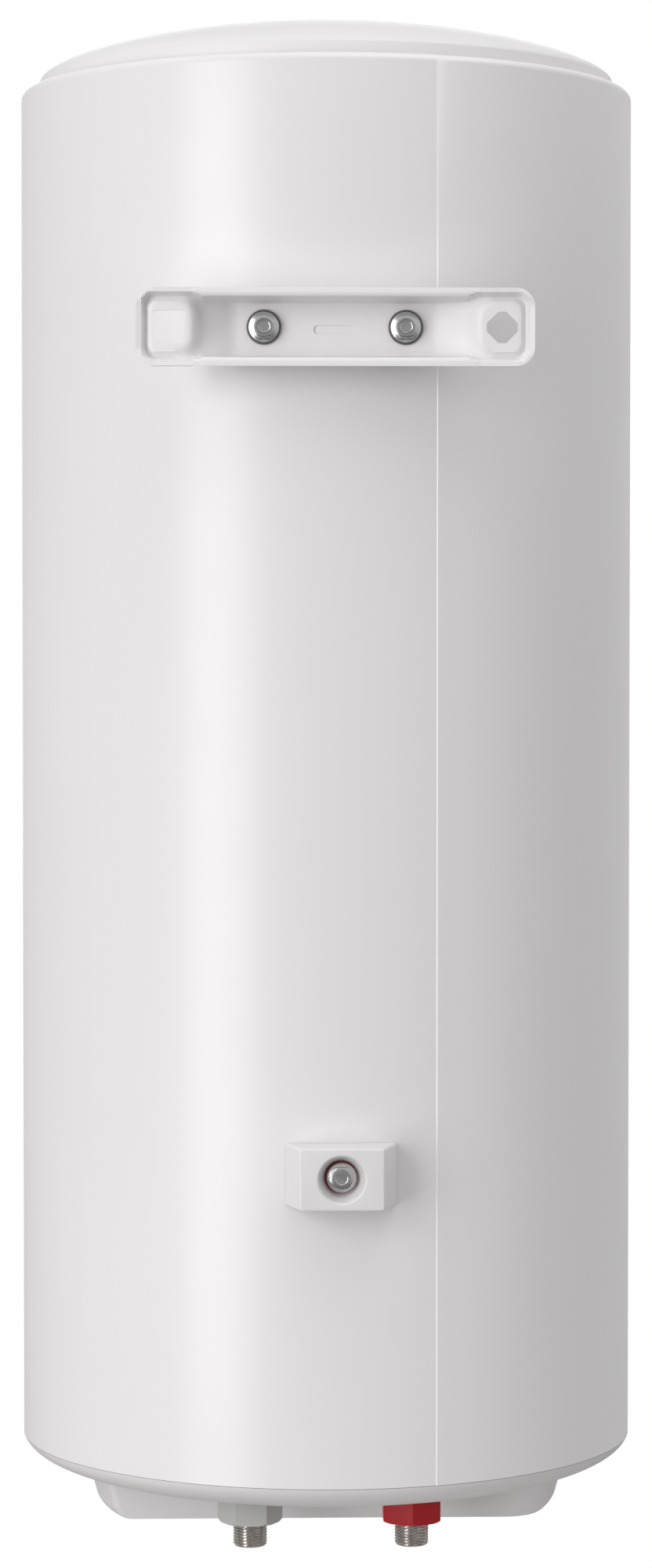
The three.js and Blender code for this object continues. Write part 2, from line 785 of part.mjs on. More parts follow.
function addSleeve(name, x, cornerToWall, material) {
  const chamfered = rod([
    [0, sleeveBottom],
    [sleeveCorner - sleeveChamfer, sleeveBottom],
    [sleeveCorner + fitGap, sleeveBottom + sleeveChamfer],
    [sleeveCorner + fitGap, sleeveTop],
    [0, sleeveTop],
  ], pipeSides);
  const hex = shared(hexBar(sleeveAcrossFlats, sleeveBottom, sleeveTop, cornerToWall), chamfered);
  const neck = bar(sleeveNeckRadius, sleeveTop - joinDepth, sleeveTop + sleeveNeckHeight, pipeSides);
  const bore = bar(pipeThreadRadius + shaftGap, -2 * pipeDrop, pipeDrop, pipeSides);
  add(`${name}_sleeve`, carved([hex, neck], [bore]), material, x, pipeBack, 0);
}

function addDiffuser() {
  const inner = pipeThreadRadius + shaftGap;
  const outer = inner + diffuserWall;
  const low = nippleTop - nippleInTank / 2;
  const high = low + diffuserHeight;
  const cap = bar(outer, low, high, pipeSides);
  const bore = bar(inner, low - cutMargin, high - diffuserWall, pipeSides);
  const slotLow = nippleTop + diffuserWall;
  const slotHeight = high - 2 * diffuserWall - slotLow;
  const slots = [0, quarterTurn].map((angle) => {
    const box = new THREE.BoxGeometry(4 * outer, diffuserSlotWidth, slotHeight);
    return box.rotateZ(angle).translate(0, 0, slotLow + slotHeight / 2);
  });
  add('cold_diffuser', carved([cap], [bore, ...slots]), whitePlastic, -pipePitch / 2, pipeBack, 0);
}

function addStandpipe() {
  const high = tankTop - tankHeadDepth + cutMargin;
  const pipe = tube(standpipeBoreRadius, standpipeRadius, nippleTop - 2 * nippleInTank, high, pipeSides);
  add('hot_standpipe', pipe, stainless, pipePitch / 2, pipeBack, 0);
}

// ---------------------------------------------------------------- flange and what hangs from it

function addFlange() {
  const neckOuter = flangeOpening + flangeNeckWall;
  const neckTop = headHeight(neckOuter) + cutMargin;
  const collar = turned(ring([
    [flangeOpening, ringBottom],
    [flangeRadius, ringBottom],
    [flangeRadius, flangeRingTop],
    [neckOuter, flangeRingTop],
    [neckOuter, neckTop],
    [flangeOpening, neckTop],
  ]), flangeSides);
  const blindTop = flangeRingTop - flangeTappingFloor;
  const tappings = flangeBoltPlaces.map(({ x, y }) => {
    return bar(flangeBoltRadius + shaftGap, ringBottom - cutMargin, blindTop, pinSides).translate(x, y, 0);
  });
  add('flange_collar', carved([collar], tappings), tankSteel);
  const gasketOuter = flangeBoltCircle - flangeBoltRadius - gasketBoltGap;
  const gasketLow = plateTop + fitGap;
  const gasketTop = gasketLow + flangeGasketThickness;
  add('flange_gasket', tube(flangeOpening, gasketOuter, gasketLow, gasketTop, flangeSides), rubber);
}

function addFlangePlate() {
  const through = (radius, x, y, sides) => {
    return bar(radius, plateBottom - cutMargin, plateTop + cutMargin, sides).translate(x, y, 0);
  };
  const holes = [
    ...flangeBoltPlaces.map(({ x, y }) => through(flangeBoltRadius + shaftGap, x, y, pinSides)),
    ...[-1, 1].map((side) => through(elementTubeRadius + fitGap, (side * elementLegPitch) / 2, 0, pinSides)),
    through(pocketRadius + fitGap, 0, pocketOffset, boltSides),
    through(anodeStudRadius + fitGap, 0, -anodeOffset, pinSides),
  ];
  add('flange_plate', carved([bar(flangeRadius, plateBottom, plateTop, flangeSides)], holes), zincSteel);
}

function addFlangeBolts() {
  const bolt = flangedBolt(flangeBoltRadius, flangeBoltLength, flangeBoltFlangeRadius,
    mountBoltFlangeHeight, mountBoltAcrossFlats, mountBoltHexHeight);
  flangeBoltPlaces.forEach(({ x, y }, i) => {
    const headUp = bolt.clone().rotateX(Math.PI);
    add(`flange_bolt_${i + 1}`, headUp, zincSteel, x, y, plateBottom - fitGap);
  });
}

/** A hairpin: up one leg, round a half turn and down the other, with its steps kept for the bend. */
class Hairpin extends THREE.Curve {
  constructor(low, bendHeight, radius, legShare) {
    super();
    Object.assign(this, { low, bendHeight, radius, legShare });
  }

  getPoint(t, target = new THREE.Vector3()) {
    const { low, bendHeight, radius, legShare } = this;
    if (t <= legShare) {
      return target.set(-radius, 0, low + ((bendHeight - low) * t) / legShare);
    }
    if (t >= 1 - legShare) {
      return target.set(radius, 0, low + ((bendHeight - low) * (1 - t)) / legShare);
    }
    const angle = Math.PI * (1 - (t - legShare) / (1 - 2 * legShare));
    return target.set(radius * Math.cos(angle), 0, bendHeight + radius * Math.sin(angle));
  }

  getSpacedPoints(divisions) {
    return this.getPoints(divisions);
  }

  getTangentAt(u, target) {
    return this.getTangent(u, target);
  }
}

function addElement() {
  const low = plateBottom - elementPinDrop;
  const bend = plateTop + elementLength - elementLegPitch / 2;
  const steps = 16;
  const curve = new Hairpin(low, bend, elementLegPitch / 2, 2 / steps);
  add('heating_element', cable(curve, elementTubeRadius, steps), copperSheath);
  const nutEnd = terminalBeadHeight + terminalNutHeight;
  const terminal = rod([
    [0, -terminalPinEnd],
    [terminalPinRadius, -terminalPinEnd],
    [terminalPinRadius, -nutEnd],
    [terminalNutRadius, -nutEnd],
    [terminalNutRadius, -terminalBeadHeight],
    [elementTubeRadius, -terminalBeadHeight],
    [elementTubeRadius, 0],
    [0, 0],
  ], pinSides);
  for (const [name, side] of [['left', -1], ['right', 1]]) {
    add(`element_terminal_${name}`, terminal.clone(), ceramic, (side * elementLegPitch) / 2, 0, low - fitGap);
  }
}

function addPocketAndAnode() {
  const pocketTop = plateTop + pocketLength;
  const boreTop = pocketTop - (pocketRadius - pocketBoreRadius);
  const pocket = turned(ring([
    [pocketBoreRadius, plateBottom],
    [pocketRadius, plateBottom],
    [pocketRadius, pocketTop],
    [0, pocketTop],
    [0, boreTop],
    [pocketBoreRadius, boreTop],
  ]), boltSides);
  add('thermostat_pocket', pocket, stainless, 0, pocketOffset, 0);
  const studEnd = plateBottom - anodeNutHeight - anodeStudProud;
  const rodLow = plateTop + anodeLift;
  const anode = rod([
    [0, studEnd],
    [anodeStudRadius, studEnd],
    [anodeStudRadius, rodLow],
    [anodeRadius, rodLow],
    [anodeRadius, rodLow + anodeLength],
    [0, rodLow + anodeLength],
  ]);
  add('anode_rod', anode, magnesium, 0, -anodeOffset, 0);
  const nutTop = plateBottom - fitGap;
  const nut = carved([hexBar(mountBoltAcrossFlats, nutTop - anodeNutHeight, nutTop)],
    [bar(anodeStudRadius + shaftGap, studEnd - cutMargin, nutTop + cutMargin)]);
  add('anode_nut', nut, zincSteel, 0, -anodeOffset, 0);
}

// ---------------------------------------------------------------- thermostat, knob and reset button

function addThermostat() {
  const outline = roundedRectangle(thermostatWidth, thermostatLength, thermostatCorner, 2);
  const body = prism(outline, thermostatBottom, thermostatTop).translate(0, thermostatShift, 0);
  const stemTop = plateTop + pocketLength - cutMargin;
  const stem = bar(thermostatStemRadius, thermostatTop - joinDepth, stemTop, pinSides);
  const mouth = thermostatBottom - cutMargin;
  const socket = bar(spindleRadius + shaftGap, mouth, thermostatSocketTop)
    .translate(0, thermostatShift, 0);
  const resetBore = bar(resetRadius + shaftGap, mouth, thermostatSocketTop)
    .translate(resetAcross, thermostatShift + resetAlong, 0);
  add('thermostat_body', carved([body, stem], [socket, resetBore]), blackPlastic, 0, pocketOffset, 0);
  const buttonTop = thermostatSocketTop - resetTravel - 2 * fitGap;
  const button = bar(resetRadius, thermostatBottom - resetProud, buttonTop);
  add('reset_button', button, redPlastic, resetAcross, thermostatAlong + resetAlong, 0);
}

function addKnob() {
  const top = -coverDepth - fitGap;
  const low = top - knobHeight;
  const skirtLow = top - knobSkirt;
  const spindleLow = skirtLow - spindleProud;
  const disc = rod([
    [0, skirtLow],
    [knobRadius - knobEdge, skirtLow],
    [knobRadius, top],
    [0, top],
  ], pipeSides);
  const gripLength = 2 * (knobRadius - knobGripEnd);
  const gripCorner = knobGripWidth / 2 - fitGap;
  const grip = roundedRectangle(knobGripWidth, gripLength, gripCorner);
  const tip = roundedRectangle(knobGripWidth - 2 * knobGripTaper, gripLength - 2 * knobGripTaper,
    gripCorner - knobGripTaper);
  const handle = loft([{ outline: tip, z: low }, { outline: grip, z: skirtLow + joinDepth }]);
  const bore = bar(spindleRadius + fitGap, spindleLow - fitGap, top + cutMargin);
  add('control_knob', carved([disc, handle], [bore]), whitePlastic, 0, thermostatAlong, 0);
  const spindle = bar(spindleRadius, spindleLow, thermostatSocketTop - fitGap);
  add('thermostat_spindle', spindle, stainless, 0, thermostatAlong, 0);
}

// ---------------------------------------------------------------- lower cover

/** Where the round of one of the cover's corners meets its circle and its straight back. */
function coverCorner(radius, chord, corner) {
  const y = -(chord - corner);
  const x = Math.sqrt((radius - corner) ** 2 - y * y);
  return { x, y, corner, turn: Math.atan2(y, x) };
}

/** The cover's outline: a circle cut by a straight back with round corners, each moved in by an inset. */
function coverOutline(inset, backInset) {
  const radius = coverRadius - inset;
  const chord = coverChord - backInset;
  const left = coverCorner(radius, chord, coverLeftCorner);
  const right = coverCorner(radius, chord, coverRightCorner);
  return [
    ...arcPoints(0, 0, radius, right.turn, Math.PI - left.turn, 26),
    ...arcPoints(-left.x, left.y, left.corner, Math.PI - left.turn, 3 * quarterTurn, 3).slice(1),
    ...arcPoints(right.x, right.y, right.corner, -quarterTurn, right.turn, 5).slice(0, -1),
  ];
}

/** Levels of the drafted wall and the rounded lower edge, low to high, set in by a wall thickness. */
function coverLevels(wall, top) {
  const depth = coverDepth - wall;
  const edge = coverEdgeRadius - wall;
  const backEdge = coverBackEdge - wall;
  const straight = depth - edge;
  const draft = (z) => wall + (z - bottomCapDepth) * coverDraftSlope;
  const levels = [0, 30, 60, 90].map((degrees) => {
    const angle = THREE.MathUtils.degToRad(degrees);
    const share = 1 - Math.cos(angle);
    return {
      outline: coverOutline(draft(straight) + edge * share, draft(straight) + backEdge * share),
      z: -(straight + edge * Math.sin(angle)),
    };
  }).reverse();
  return [...levels, { outline: coverOutline(draft(-top), draft(-top)), z: top }];
}

function addCover() {
  const floorHole = (radius, x, y, sides = boltSides) => {
    return bar(radius, -coverDepth - cutMargin, coverFloorFace + cutMargin, sides).translate(x, y, 0);
  };
  const holes = [
    ...coverPosts.map(({ x, y }) => floorHole(coverScrewRadius + 2 * shaftGap, x, y)),
    floorHole(spindleRadius + 2 * shaftGap, 0, thermostatAlong),
    floorHole(lampRadius + shaftGap, lampAcross, lampAlong),
    floorHole(glandBodyRadius + shaftGap, glandAcross, glandAlong),
  ];
  const outside = loft(coverLevels(0, coverTop));
  const inside = loft(coverLevels(coverWall, coverTop + cutMargin));
  add('control_cover', carved([outside], [inside, ...holes]), whitePlastic);
}

function addCoverScrews() {
  const head = -coverDepth - fitGap;
  const screw = rod([
    [0, head - coverScrewHeadHeight],
    [coverScrewHeadRadius - coverScrewHeadEdge, head - coverScrewHeadHeight],
    [coverScrewHeadRadius, head - coverScrewHeadEdge],
    [coverScrewHeadRadius, head],
    [coverScrewRadius, head],
    [coverScrewRadius, head + coverScrewLength],
    [0, head + coverScrewLength],
  ], pinSides);
  coverPosts.forEach(({ x, y }, i) => {
    add(`cover_screw_${i + 1}`, screw.clone(), zincSteel, x, y, 0);
  });
}

function addLamp() {
  const low = -coverDepth - lampProud;
  const seat = coverFloorFace + fitGap;
  const flangeTop = seat + lampFlangeHeight;
  const lens = rod([
    [0, low],
    [lampRadius - lampEdge, low],
    [lampRadius, low + lampEdge],
    [lampRadius, seat],
    [lampFlangeRadius, seat],
    [lampFlangeRadius, flangeTop],
    [0, flangeTop],
  ], boltSides);
  add('lamp_lens', lens, lampAmber, lampAcross, lampAlong, 0);
  const holderTop = -(bottomCapDepth + lampHolderCapGap);
  const holder = bar(lampRadius + lampHolderWall, flangeTop + fitGap, holderTop);
  add('lamp_holder', holder, ceramic, lampAcross, lampAlong, 0);
}

function addGland() {
  const top = -coverDepth - fitGap;
  const gland = turned(ring([
    [glandBoreRadius, top - glandProud],
    [glandBoreRadius + glandLip, top - glandProud],
    [glandFlangeRadius, top - glandLip],
    [glandFlangeRadius, top],
    [glandBodyRadius, top],
    [glandBodyRadius, coverFloorFace + glandInside],
    [glandBoreRadius, coverFloorFace + glandInside],
  ]), boltSides);
  add('cord_gland', gland, blackPlastic, glandAcross, glandAlong, 0);
  const nutLow = coverFloorFace + fitGap;
  const nut = carved([hexBar(2 * glandFlangeRadius - glandLip, nutLow, nutLow + glandNutHeight)],
    [bar(glandBodyRadius + shaftGap, nutLow - cutMargin, nutLow + 2 * cutMargin)]);
  add('gland_nut', nut, blackPlastic, glandAcross, glandAlong, 0);
}

// ---------------------------------------------------------------- terminal block and wiring

function addTerminalBlock() {
  const top = -(bottomCapDepth + fitGap);
  const low = top - blockHeight;
  const block = prism(roundedRectangle(blockLength, blockWidth, blockCorner, 1), low, top);
  const pitch = blockLength / blockWellRows;
  const wells = [-pitch, 0, pitch].flatMap((x) => [-1, 1].map((side) => {
    return bar(blockWellRadius, low - cutMargin, low + blockWellDepth, pinSides)
      .translate(x, (side * blockWidth) / 4, 0);
  }));
  add('terminal_block', carved([block], wells), whitePlastic, blockAcross, blockAlong, 0);
  const head = plateBottom - fitGap;
  const earth = bar(earthScrewRadius, head - earthScrewHeight, head, pinSides);
  add('earth_screw', earth, zincSteel, 0, earthScrewAlong, 0);
}

/** A wire held at both ends, along points chosen by hand. */
function addWire(name, points, material) {
  const curve = new THREE.CatmullRomCurve3(points.map(([x, y, z]) => new THREE.Vector3(x, y, z)));
  add(name, cable(curve, wireRadius, 10), material);
}

function addWiring() {
  const out = blockAcross + blockLength / 2 + wireEndGap;
  const row = -(bottomCapDepth + fitGap + blockHeight / 2);
  const leg = elementLegPitch / 2;
  const legEnd = leg + terminalNutRadius + wireEndGap;
  const earthEnd = earthScrewAlong + earthScrewRadius + wireEndGap + wireRadius;
  const terminalHeight = plateBottom - elementPinDrop - fitGap - 5;
  const casing = thermostatWidth / 2 + wireEndGap;
  const y = blockAlong;
  addWire('live_wire', [[out, y - 1, row], [out + 7, y - 2, row - 1], [-35, 46, -31],
    [-24, 31, -31], [-casing - 3, 27, -31], [-casing, 27, -31]], brownWire);
  addWire('neutral_wire', [[out, y - 7, row], [out + 6, y - 11, row - 2], [-42, 30, -33],
    [-36, 10, -30], [-legEnd - 3, 1, terminalHeight - 1], [-legEnd, 0, terminalHeight]], blueWire);
  addWire('link_wire', [[casing, 27, -31], [casing + 4, 27, -31], [30, 20, -31],
    [33, 8, -27], [legEnd + 4, 1, terminalHeight - 1], [legEnd, 0, terminalHeight]], brownWire);
  addWire('earth_wire', [[out, y + 6, row], [out + 8, y + 9, row - 1], [-28, 70, -30],
    [-10, 62, -28], [-2, 55, -21], [0, earthEnd, plateBottom - 2]], greenWire);
  const lampEnd = lampAcross - lampRadius - lampHolderWall - wireEndGap;
  addWire('lamp_lead', [[out, y + 8, row + 5], [out + 10, y + 14, row + 2], [-20, 86, -30],
    [10, 95, -33], [lampEnd - 10, 93, -32], [lampEnd, lampAlong, -32]], ceramic);
}

// ---------------------------------------------------------------- assembly
addJacket();
addTopCap();
addBottomCap();
addFoam();
addTank();
addBracket();
addBracketFixings();
addSpacer();
addSpacerFixings();
for (const { name, x, cornerToWall, material } of pipePlaces) {
  addNipple(name, x);
  addSleeve(name, x, cornerToWall, material);
}
addDiffuser();
addStandpipe();
addFlange();
addFlangePlate();
addFlangeBolts();
addElement();
addPocketAndAnode();
addThermostat();
addKnob();
addCover();
addCoverScrews();
addLamp();
addGland();
addTerminalBlock();
addWiring();

const group = new THREE.Group();
group.add(heater);

export default group;
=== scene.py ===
"""Looks of a wall-hung electric water heater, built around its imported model.

Metres, +Z up. The wall plane is y = 0, the room lies towards +Y, and z = 0 is the height of the two
hanging holes. The heater stands upright behind the wall plane, so its wall side looks along -Y.
"""
import logging
import math
from dataclasses import dataclass
from enum import Enum
from typing import Iterable, Sequence

import bmesh
import bpy
from mathutils import Matrix, Vector


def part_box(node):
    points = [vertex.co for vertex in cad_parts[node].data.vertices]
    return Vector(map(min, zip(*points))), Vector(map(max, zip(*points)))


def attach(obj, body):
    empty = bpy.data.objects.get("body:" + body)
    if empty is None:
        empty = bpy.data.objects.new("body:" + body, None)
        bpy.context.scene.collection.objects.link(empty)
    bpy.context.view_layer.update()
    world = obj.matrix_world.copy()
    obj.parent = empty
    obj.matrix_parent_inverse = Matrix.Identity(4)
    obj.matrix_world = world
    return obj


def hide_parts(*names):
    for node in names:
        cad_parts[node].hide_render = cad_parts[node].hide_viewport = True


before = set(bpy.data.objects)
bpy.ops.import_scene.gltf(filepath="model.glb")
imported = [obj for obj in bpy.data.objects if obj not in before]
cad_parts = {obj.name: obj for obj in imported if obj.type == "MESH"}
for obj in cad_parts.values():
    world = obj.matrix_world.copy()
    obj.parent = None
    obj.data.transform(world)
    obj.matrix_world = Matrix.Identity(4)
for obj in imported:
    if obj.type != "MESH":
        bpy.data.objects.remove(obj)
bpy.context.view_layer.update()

MM = 0.001
FULL_TURN = 2 * math.pi
SHARP_ANGLE = math.radians(32)
MERGE_GAP = 1e-6
FIT_GAP = 0.3 * MM
log = logging.getLogger("heater")

Point = tuple[float, float]
Colour = tuple[float, float, float]


class Cut(Enum):
    """How one solid changes another."""

    AWAY = "DIFFERENCE"
    JOIN = "UNION"
    KEEP = "INTERSECT"


class Pattern(Enum):
    """The fine pattern that a finish carries."""

    CLOUD = "cloud"
    CELLS = "cells"


class Side(Enum):
    """Left or right of the middle, as seen from the wall."""

    LEFT = -1
    RIGHT = 1


# ---------------------------------------------------------------- finishes


@dataclass(frozen=True)
class Finish:
    """A finish whose colour, gloss and surface vary over the piece, in object space."""

    name: str
    colour: Colour
    other: Colour
    tone_scale: float = 9.0
    rough: tuple[float, float] = (0.3, 0.4)
    metal: float = 0.0
    coat: float = 0.0
    specular: float = 0.5
    grain_scale: float = 300.0
    grain_depth: float = 0.02 * MM
    pattern: Pattern = Pattern.CLOUD
    stretch: tuple[float, float, float] = (1.0, 1.0, 1.0)
    glow_through: float = 0.0

    def material(self) -> bpy.types.Material:
        """Builds the node material, or gives the one that was built before.

        Returns:
            The material of this finish.
        """
        title = f"{self.name}_finish"
        known = bpy.data.materials.get(title)
        if known is not None:
            return known
        made = bpy.data.materials.new(title)
        made.use_nodes = True
        tree = made.node_tree
        shader = tree.nodes["Principled BSDF"]
        shader.inputs["Metallic"].default_value = self.metal
        shader.inputs["Coat Weight"].default_value = self.coat
        shader.inputs["Coat Roughness"].default_value = 0.06
        shader.inputs["Specular IOR Level"].default_value = self.specular
        shader.inputs["Transmission Weight"].default_value = self.glow_through
        place = tree.nodes.new("ShaderNodeTexCoord")
        turn = tree.nodes.new("ShaderNodeMapping")
        turn.inputs["Scale"].default_value = self.stretch
        tree.links.new(place.outputs["Object"], turn.inputs["Vector"])
        self._tone(tree, turn, shader)
        self._gloss(tree, turn, shader)
        self._surface(tree, turn, shader)
        return made

    def _tone(self, tree: bpy.types.NodeTree, turn: bpy.types.Node, shader: bpy.types.Node) -> None:
        """Varies the colour softly between the finish's two colours.

        Args:
            tree: The material's node tree.
            turn: The node that gives the coordinates.
            shader: The surface shader.
        """
        cloud = self._noise(tree, turn, self.tone_scale, 3.0)
        mix = tree.nodes.new("ShaderNodeMix")
        mix.data_type = "RGBA"
        mix.inputs["A"].default_value = (*self.colour, 1)
        mix.inputs["B"].default_value = (*self.other, 1)
        tree.links.new(cloud.outputs["Fac"], mix.inputs["Factor"])
        tree.links.new(mix.outputs["Result"], shader.inputs["Base Color"])

    def _gloss(self, tree: bpy.types.NodeTree, turn: bpy.types.Node, shader: bpy.types.Node) -> None:
        """Varies the roughness between the finish's two values.

        Args:
            tree: The material's node tree.
            turn: The node that gives the coordinates.
            shader: The surface shader.
        """
        smear = self._noise(tree, turn, self.tone_scale * 4, 5.0)
        span = tree.nodes.new("ShaderNodeMapRange")
        span.inputs["To Min"].default_value = self.rough[0]
        span.inputs["To Max"].default_value = self.rough[1]
        tree.links.new(smear.outputs["Fac"], span.inputs["Value"])
        tree.links.new(span.outputs["Result"], shader.inputs["Roughness"])

    def _surface(self, tree: bpy.types.NodeTree, turn: bpy.types.Node, shader: bpy.types.Node) -> None:
        """Gives the surface its fine grain, orange peel, spangle or cells.

        Args:
            tree: The material's node tree.
            turn: The node that gives the coordinates.
            shader: The surface shader.
        """
        if self.pattern is Pattern.CELLS:
            grain = tree.nodes.new("ShaderNodeTexVoronoi")
            grain.inputs["Scale"].default_value = self.grain_scale
            tree.links.new(turn.outputs["Vector"], grain.inputs["Vector"])
            height = grain.outputs["Distance"]
        else:
            height = self._noise(tree, turn, self.grain_scale, 2.0).outputs["Fac"]
        bump = tree.nodes.new("ShaderNodeBump")
        bump.inputs["Strength"].default_value = 1.0
        bump.inputs["Distance"].default_value = self.grain_depth
        tree.links.new(height, bump.inputs["Height"])
        tree.links.new(bump.outputs["Normal"], shader.inputs["Normal"])

    @staticmethod
    def _noise(tree: bpy.types.NodeTree, turn: bpy.types.Node, scale: float, detail: float) -> bpy.types.Node:
        """Adds a noise texture in object space.

        Args:
            tree: The material's node tree.
            turn: The node that gives the coordinates.
            scale: Waves per metre.
            detail: How many finer layers it has.

        Returns:
            The noise node.
        """
        noise = tree.nodes.new("ShaderNodeTexNoise")
        noise.inputs["Scale"].default_value = scale
        noise.inputs["Detail"].default_value = detail
        tree.links.new(turn.outputs["Vector"], noise.inputs["Vector"])
        return noise


ENAMEL = Finish("white_enamel", (0.765, 0.750, 0.756), (0.735, 0.719, 0.726), tone_scale=5,
                rough=(0.26, 0.32), grain_scale=170, grain_depth=0.02 * MM)
BRACKET_PAINT = Finish("bracket_paint", (0.81, 0.797, 0.802), (0.77, 0.757, 0.762), tone_scale=14,
                       rough=(0.46, 0.54), specular=0.45, grain_scale=420, grain_depth=0.03 * MM)
WHITE_PLASTIC = Finish("white_plastic", (0.735, 0.723, 0.725), (0.70, 0.688, 0.69), tone_scale=11,
                       rough=(0.38, 0.46), specular=0.45, grain_scale=1500, grain_depth=0.01 * MM)
GREY_PLASTIC = Finish("grey_plastic", (0.50, 0.50, 0.485), (0.45, 0.45, 0.43), tone_scale=60,
                      rough=(0.36, 0.5), grain_scale=1800, grain_depth=0.02 * MM)
RED_PLASTIC = Finish("red_plastic", (0.44, 0.010, 0.018), (0.37, 0.008, 0.014), tone_scale=60,
                     rough=(0.38, 0.5), specular=0.25, grain_scale=1800, grain_depth=0.02 * MM)
BLACK_PLASTIC = Finish("black_plastic", (0.018, 0.018, 0.02), (0.03, 0.03, 0.032), tone_scale=80,
                       rough=(0.42, 0.58), grain_scale=2200, grain_depth=0.03 * MM)
ZINC = Finish("zinc_steel", (0.66, 0.66, 0.65), (0.46, 0.465, 0.465), tone_scale=420, rough=(0.14, 0.34),
              metal=1.0, grain_scale=1500, grain_depth=0.015 * MM)
# Near-black washers under the hanging bolts: the washers are real, but their darkness stands in for the dark
# ring round each bolt head, which is partly cast shadow, so this colour is partly painted shade.
WASHER_TONE_AND_SHADE = Finish("dark_zinc", (0.11, 0.105, 0.10), (0.2, 0.195, 0.19), tone_scale=500, rough=(0.35, 0.6),
                   metal=0.85, grain_scale=1800, grain_depth=0.03 * MM)
STAINLESS = Finish("stainless", (0.78, 0.76, 0.73), (0.42, 0.39, 0.37), tone_scale=160, rough=(0.12, 0.26),
                   metal=1.0, grain_scale=900, grain_depth=0.004 * MM, stretch=(1, 1, 3))
RED_FIBRE = Finish("red_fibre", (0.30, 0.03, 0.022), (0.18, 0.018, 0.014), tone_scale=900, rough=(0.6, 0.8),
                   grain_scale=2600, grain_depth=0.05 * MM)
FOAM = Finish("pu_foam", (0.80, 0.70, 0.42), (0.68, 0.56, 0.30), tone_scale=30, rough=(0.8, 0.95),
              grain_scale=700, grain_depth=0.5 * MM, pattern=Pattern.CELLS)
TANK_ENAMEL = Finish("tank_enamel", (0.05, 0.075, 0.10), (0.075, 0.10, 0.12), tone_scale=40, rough=(0.3, 0.5),
                     coat=0.3, grain_scale=260, grain_depth=0.05 * MM)
COPPER = Finish("copper_sheath", (0.55, 0.24, 0.12), (0.40, 0.18, 0.10), tone_scale=120, rough=(0.25, 0.5),
                metal=1.0, grain_scale=1200, grain_depth=0.02 * MM)
MAGNESIUM = Finish("magnesium", (0.36, 0.37, 0.375), (0.26, 0.27, 0.28), tone_scale=200, rough=(0.5, 0.75),
                   metal=0.8, grain_scale=900, grain_depth=0.08 * MM)
RUBBER = Finish("black_rubber", (0.012, 0.012, 0.013), (0.022, 0.022, 0.022), tone_scale=90, rough=(0.7, 0.9),
                grain_scale=2400, grain_depth=0.04 * MM)
CERAMIC = Finish("ceramic", (0.78, 0.74, 0.66), (0.70, 0.66, 0.58), tone_scale=150, rough=(0.35, 0.55),
                 grain_scale=1600, grain_depth=0.02 * MM)
AMBER = Finish("amber_lens", (0.72, 0.22, 0.03), (0.60, 0.16, 0.02), tone_scale=300, rough=(0.06, 0.14),
               grain_scale=900, grain_depth=0.02 * MM, glow_through=0.35)
WIRE_BROWN = Finish("wire_brown", (0.16, 0.06, 0.025), (0.12, 0.045, 0.02), tone_scale=200, rough=(0.35, 0.5))
WIRE_BLUE = Finish("wire_blue", (0.03, 0.12, 0.42), (0.025, 0.10, 0.35), tone_scale=200, rough=(0.35, 0.5))
WIRE_GREEN = Finish("wire_green", (0.17, 0.33, 0.03), (0.45, 0.42, 0.03), tone_scale=60, rough=(0.35, 0.5))
WIRE_WHITE = Finish("wire_white", (0.7, 0.69, 0.65), (0.62, 0.61, 0.57), tone_scale=200, rough=(0.35, 0.5))
FLOOR_PAINT = Finish("studio_floor", (0.50, 0.495, 0.49), (0.48, 0.475, 0.47), tone_scale=2, rough=(0.7, 0.8),
                     grain_scale=60, grain_depth=0.05 * MM)


# ---------------------------------------------------------------- outlines and solids


@dataclass(frozen=True)
class Corner:
    """A corner of an outline, with the radius that rounds it."""

    x: float
    y: float
    radius: float = 0.0


class Outline:
    """A closed or open chain of corners, some of them rounded by an arc."""

    def __init__(self, corners: Iterable[Corner], closed: bool = True, arc_steps: int = 6) -> None:
        """Keeps the corners in order.

        Args:
            corners: The corners, in order round the outline.
            closed: Whether the last corner joins the first.
            arc_steps: Straight pieces in each rounding.
        """
        self.corners = list(corners)
        self.closed = closed
        self.arc_steps = arc_steps

    def points(self) -> list[Point]:
        """Rounds every corner and lists the points of the whole chain.

        Returns:
            The points, in order.
        """
        made: list[Point] = []
        for i, corner in enumerate(self.corners):
            at_end = not self.closed and i in (0, len(self.corners) - 1)
            if corner.radius <= 0 or at_end:
                made.append((corner.x, corner.y))
                continue
            after = self.corners[(i + 1) % len(self.corners)]
            made += self._rounded(self.corners[i - 1], corner, after)
        return made

    def turned(self, steps: int) -> bmesh.types.BMesh:
        """Turns the outline, as radius and height, about Z into a solid."""
        return revolve(self.points(), steps, self.closed)

    def _rounded(self, before: Corner, corner: Corner, after: Corner) -> list[Point]:
        """Replaces one corner by an arc that touches both of its sides.

        Args:
            before: The corner before it.
            corner: The corner itself.
            after: The corner after it.

        Returns:
            The arc's points.
        """
        here = Vector((corner.x, corner.y))
        back = (Vector((before.x, before.y)) - here).normalized()
        ahead = (Vector((after.x, after.y)) - here).normalized()
        half = back.angle(ahead) / 2
        centre = here + (back + ahead).normalized() * (corner.radius / math.sin(half))
        reach = corner.radius / math.tan(half)
        start = here + back * reach - centre
        end = here + ahead * reach - centre
        turn = start.angle_signed(end)
        return [tuple(centre + _turned(start, -turn * i / self.arc_steps)) for i in range(self.arc_steps + 1)]


def _turned(arm: Vector, angle: float) -> Vector:
    """Turns a flat vector counter-clockwise by an angle."""
    return Vector((arm.x * math.cos(angle) - arm.y * math.sin(angle),
                   arm.x * math.sin(angle) + arm.y * math.cos(angle)))


